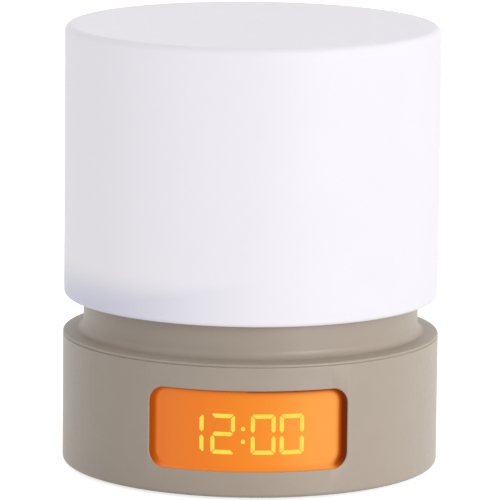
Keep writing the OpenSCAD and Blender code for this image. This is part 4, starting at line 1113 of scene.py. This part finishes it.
class CLOCK_OT_springs(ClockOperator):
    """Show the return springs as a merged, smoothly shaded copy in the spring wire's finish"""
    bl_idname = "clock.springs"
    bl_label = "Return springs"

    def execute(self, context):
        bm = bmesh.new()
        bm.from_mesh(frame["nodes"]["return_springs"].data)
        bmesh.ops.remove_doubles(bm, verts=bm.verts, dist=MERGE)
        springs = new_piece("coil_springs", bm)
        shade(springs)
        springs.data.materials.append(FINISHES["spring_steel"])
        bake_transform(springs)
        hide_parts("return_springs")
        return {"FINISHED"}


class CLOCK_OT_door(ClockOperator):
    """Build the battery door with its grip grooves"""
    bl_idname = "clock.door"
    bl_label = "Battery door"

    def execute(self, context):
        s = sizes()
        # Half the leaf's width and half the hinge pin's length
        half, pin = 25.15 * MM, high("battery_door", 0)
        front, bottom, top = low("battery_door", 1), low("battery_door", 2), 3.4 * MM
        hinge_y, hinge_z, barrel_r, pin_r = 6.2 * MM, 2.4 * MM, 1.5 * MM, 1 * MM
        leaf_round, barrel_round, pin_round, groove_round = 0.25 * MM, 0.2 * MM, 0.3 * MM, 0.2 * MM
        bm = bmesh.new()
        block(bm, (-half, front, bottom), (half, hinge_y, top), leaf_round)
        rod(bm, (0, hinge_y, hinge_z), barrel_r, half, "X", barrel_round, 40)
        rod(bm, (0, hinge_y, hinge_z), pin_r, pin, "X", pin_round)
        door = new_piece("ribbed_battery_door", bm)
        # Half a groove's length, its width and depth, and the first groove's place and the pitch of them all
        grip_half, groove, groove_depth, first, pitch = 7 * MM, 0.6 * MM, 0.45 * MM, 2.5 * MM, 1.4 * MM
        bm = bmesh.new()
        for i in range(s.groove_count):
            y = front + first + pitch * i
            block(bm, (-grip_half, y, bottom - 1 * MM),
                  (grip_half, y + groove, bottom + groove_depth), groove_round)
        carve(door, new_piece("grooves", bm))
        finish_piece(door, "battery_door", "taupe_plate", ["battery_door"])
        return {"FINISHED"}


def towards(azimuth, rise):
    """The direction at an azimuth from the front to the right and a rise, both in degrees."""
    turn, up = math.radians(azimuth), math.radians(rise)
    return Vector((math.sin(turn) * math.cos(up), -math.cos(turn) * math.cos(up), math.sin(up)))


def direct_view(tree):
    """1 for what is seen straight on, mirrored or through glass, and 0 for the light on other pieces."""
    path = add(tree, "ShaderNodeLightPath").outputs
    seen = path["Is Camera Ray"]
    for ray in ("Is Glossy Ray", "Is Transmission Ray"):
        seen = add(tree, "ShaderNodeMath", {0: seen, 1: path[ray]}, operation="MAXIMUM").outputs["Value"]
    return seen


class CLOCK_OT_stage(ClockOperator):
    """Build the pale floor, the white surroundings and the soft lights"""
    bl_idname = "clock.stage"
    bl_label = "Stage"

    def execute(self, context):
        bm = bmesh.new()
        bmesh.ops.create_circle(bm, cap_ends=True, segments=64, radius=FLOOR_R)
        floor = new_piece("stage_floor", bm)
        floor.data.materials.append(self.floor_material())
        self.surroundings(context)
        for name, settings in SOFTBOXES.items():
            self.lamp(context, name, *settings)
        context.scene.view_settings.view_transform = "Standard"
        return {"FINISHED"}

    def lamp(self, context, name, azimuth, rise, size, power):
        """A square softbox that points at the clock from an azimuth and a rise."""
        data = bpy.data.lights.new(name, "AREA")
        data.shape, data.size, data.energy = "SQUARE", size, power
        lamp = bpy.data.objects.new(name, data)
        context.scene.collection.objects.link(lamp)
        place = towards(azimuth, rise) * LAMP_DISTANCE
        aim = Vector((0, 0, LAMP_AIM)) - place
        lamp.matrix_world = Matrix.Translation(place) @ aim.to_track_quat("-Z", "Y").to_matrix().to_4x4()

    def floor_material(self):
        """White paper sweep: it keeps the clock's faint shadow and reads as white where it is seen."""
        material, tree, shader, place = start_material("paper_sweep")
        tree.links.new(uneven(tree, place, linear("#D4D4D4"), 0.004, 120 * MM), shader.inputs["Base Color"])
        shader.inputs["Roughness"].default_value = 0.9
        shader.inputs["Specular IOR Level"].default_value = 0.0
        lift = add(tree, "ShaderNodeMath", {0: direct_view(tree), 1: FLOOR_LIFT}, operation="MULTIPLY")
        shader.inputs["Emission Color"].default_value = (1, 1, 1, 1)
        tree.links.new(lift.outputs["Value"], shader.inputs["Emission Strength"])
        # From below the sheet is clear, so that the underside of the clock can be looked at
        below = add(tree, "ShaderNodeNewGeometry").outputs["Backfacing"]
        clear = add(tree, "ShaderNodeBsdfTransparent").outputs["BSDF"]
        both = add(tree, "ShaderNodeMixShader", {0: below, 1: shader.outputs["BSDF"], 2: clear})
        output = next(n for n in tree.nodes if n.type == "OUTPUT_MATERIAL")
        tree.links.new(both.outputs["Shader"], output.inputs["Surface"])
        return material

    def surroundings(self, context):
        """A white room whose walls light the clock, full white where it is seen or mirrored."""
        world = bpy.data.worlds.new("white_room")
        context.scene.world = world
        world.use_nodes = True
        tree = world.node_tree
        tree.nodes.clear()
        place = add(tree, "ShaderNodeTexCoord").outputs["Object"]
        total = 0.0
        for azimuth, rise, power, strength in WALL_LIGHTS:
            facing = add(tree, "ShaderNodeVectorMath", {0: place, 1: towards(azimuth, rise)},
                         operation="DOT_PRODUCT")
            facing = add(tree, "ShaderNodeMath", {0: facing.outputs["Value"], 1: 0.0}, operation="MAXIMUM")
            spread = add(tree, "ShaderNodeMath", {0: facing.outputs["Value"], 1: power}, operation="POWER")
            total = add(tree, "ShaderNodeMath", {0: spread.outputs["Value"], 1: strength, 2: total},
                        operation="MULTIPLY_ADD").outputs["Value"]
        plain = add(tree, "ShaderNodeBackground", {"Color": (1, 1, 1, 1), "Strength": total})
        white = add(tree, "ShaderNodeBackground", {"Color": (1, 1, 1, 1), "Strength": 1.0})
        both = add(tree, "ShaderNodeMixShader", {0: direct_view(tree), 1: plain.outputs["Background"],
                                                 2: white.outputs["Background"]})
        add(tree, "ShaderNodeOutputWorld", {"Surface": both.outputs["Shader"]})


OPERATORS = (CLOCK_OT_camera, CLOCK_OT_finishes, CLOCK_OT_drum, CLOCK_OT_base, CLOCK_OT_neck,
             CLOCK_OT_display, CLOCK_OT_digits, CLOCK_OT_keys, CLOCK_OT_slider, CLOCK_OT_feet,
             CLOCK_OT_springs, CLOCK_OT_door, CLOCK_OT_stage)


class CLOCK_PT_panel(bpy.types.Panel):
    """Lists the clock's sizes, colours and pieces"""
    bl_idname = "CLOCK_PT_panel"
    bl_label = "Lamp clock"
    bl_space_type = "VIEW_3D"
    bl_region_type = "UI"
    bl_category = "Lamp clock"

    def draw(self, context):
        for group in (context.scene.clock_sizes, context.scene.clock_colours):
            box = self.layout.box()
            for name in group.__annotations__:
                box.prop(group, name)
        for operator in OPERATORS:
            self.layout.operator(operator.bl_idname)


CLASSES = (ClockSizes, ClockColours, *OPERATORS, CLOCK_PT_panel)


def register():
    for cls in CLASSES:
        bpy.utils.register_class(cls)
    bpy.types.Scene.clock_sizes = PointerProperty(type=ClockSizes)
    bpy.types.Scene.clock_colours = PointerProperty(type=ClockColours)


def unregister():
    del bpy.types.Scene.clock_colours
    del bpy.types.Scene.clock_sizes
    for cls in reversed(CLASSES):
        bpy.utils.unregister_class(cls)


def main():
    register()
    for operator in OPERATORS:
        group, name = operator.bl_idname.split(".")
        getattr(getattr(bpy.ops, group), name)()


if __name__ == "__main__":
    main()
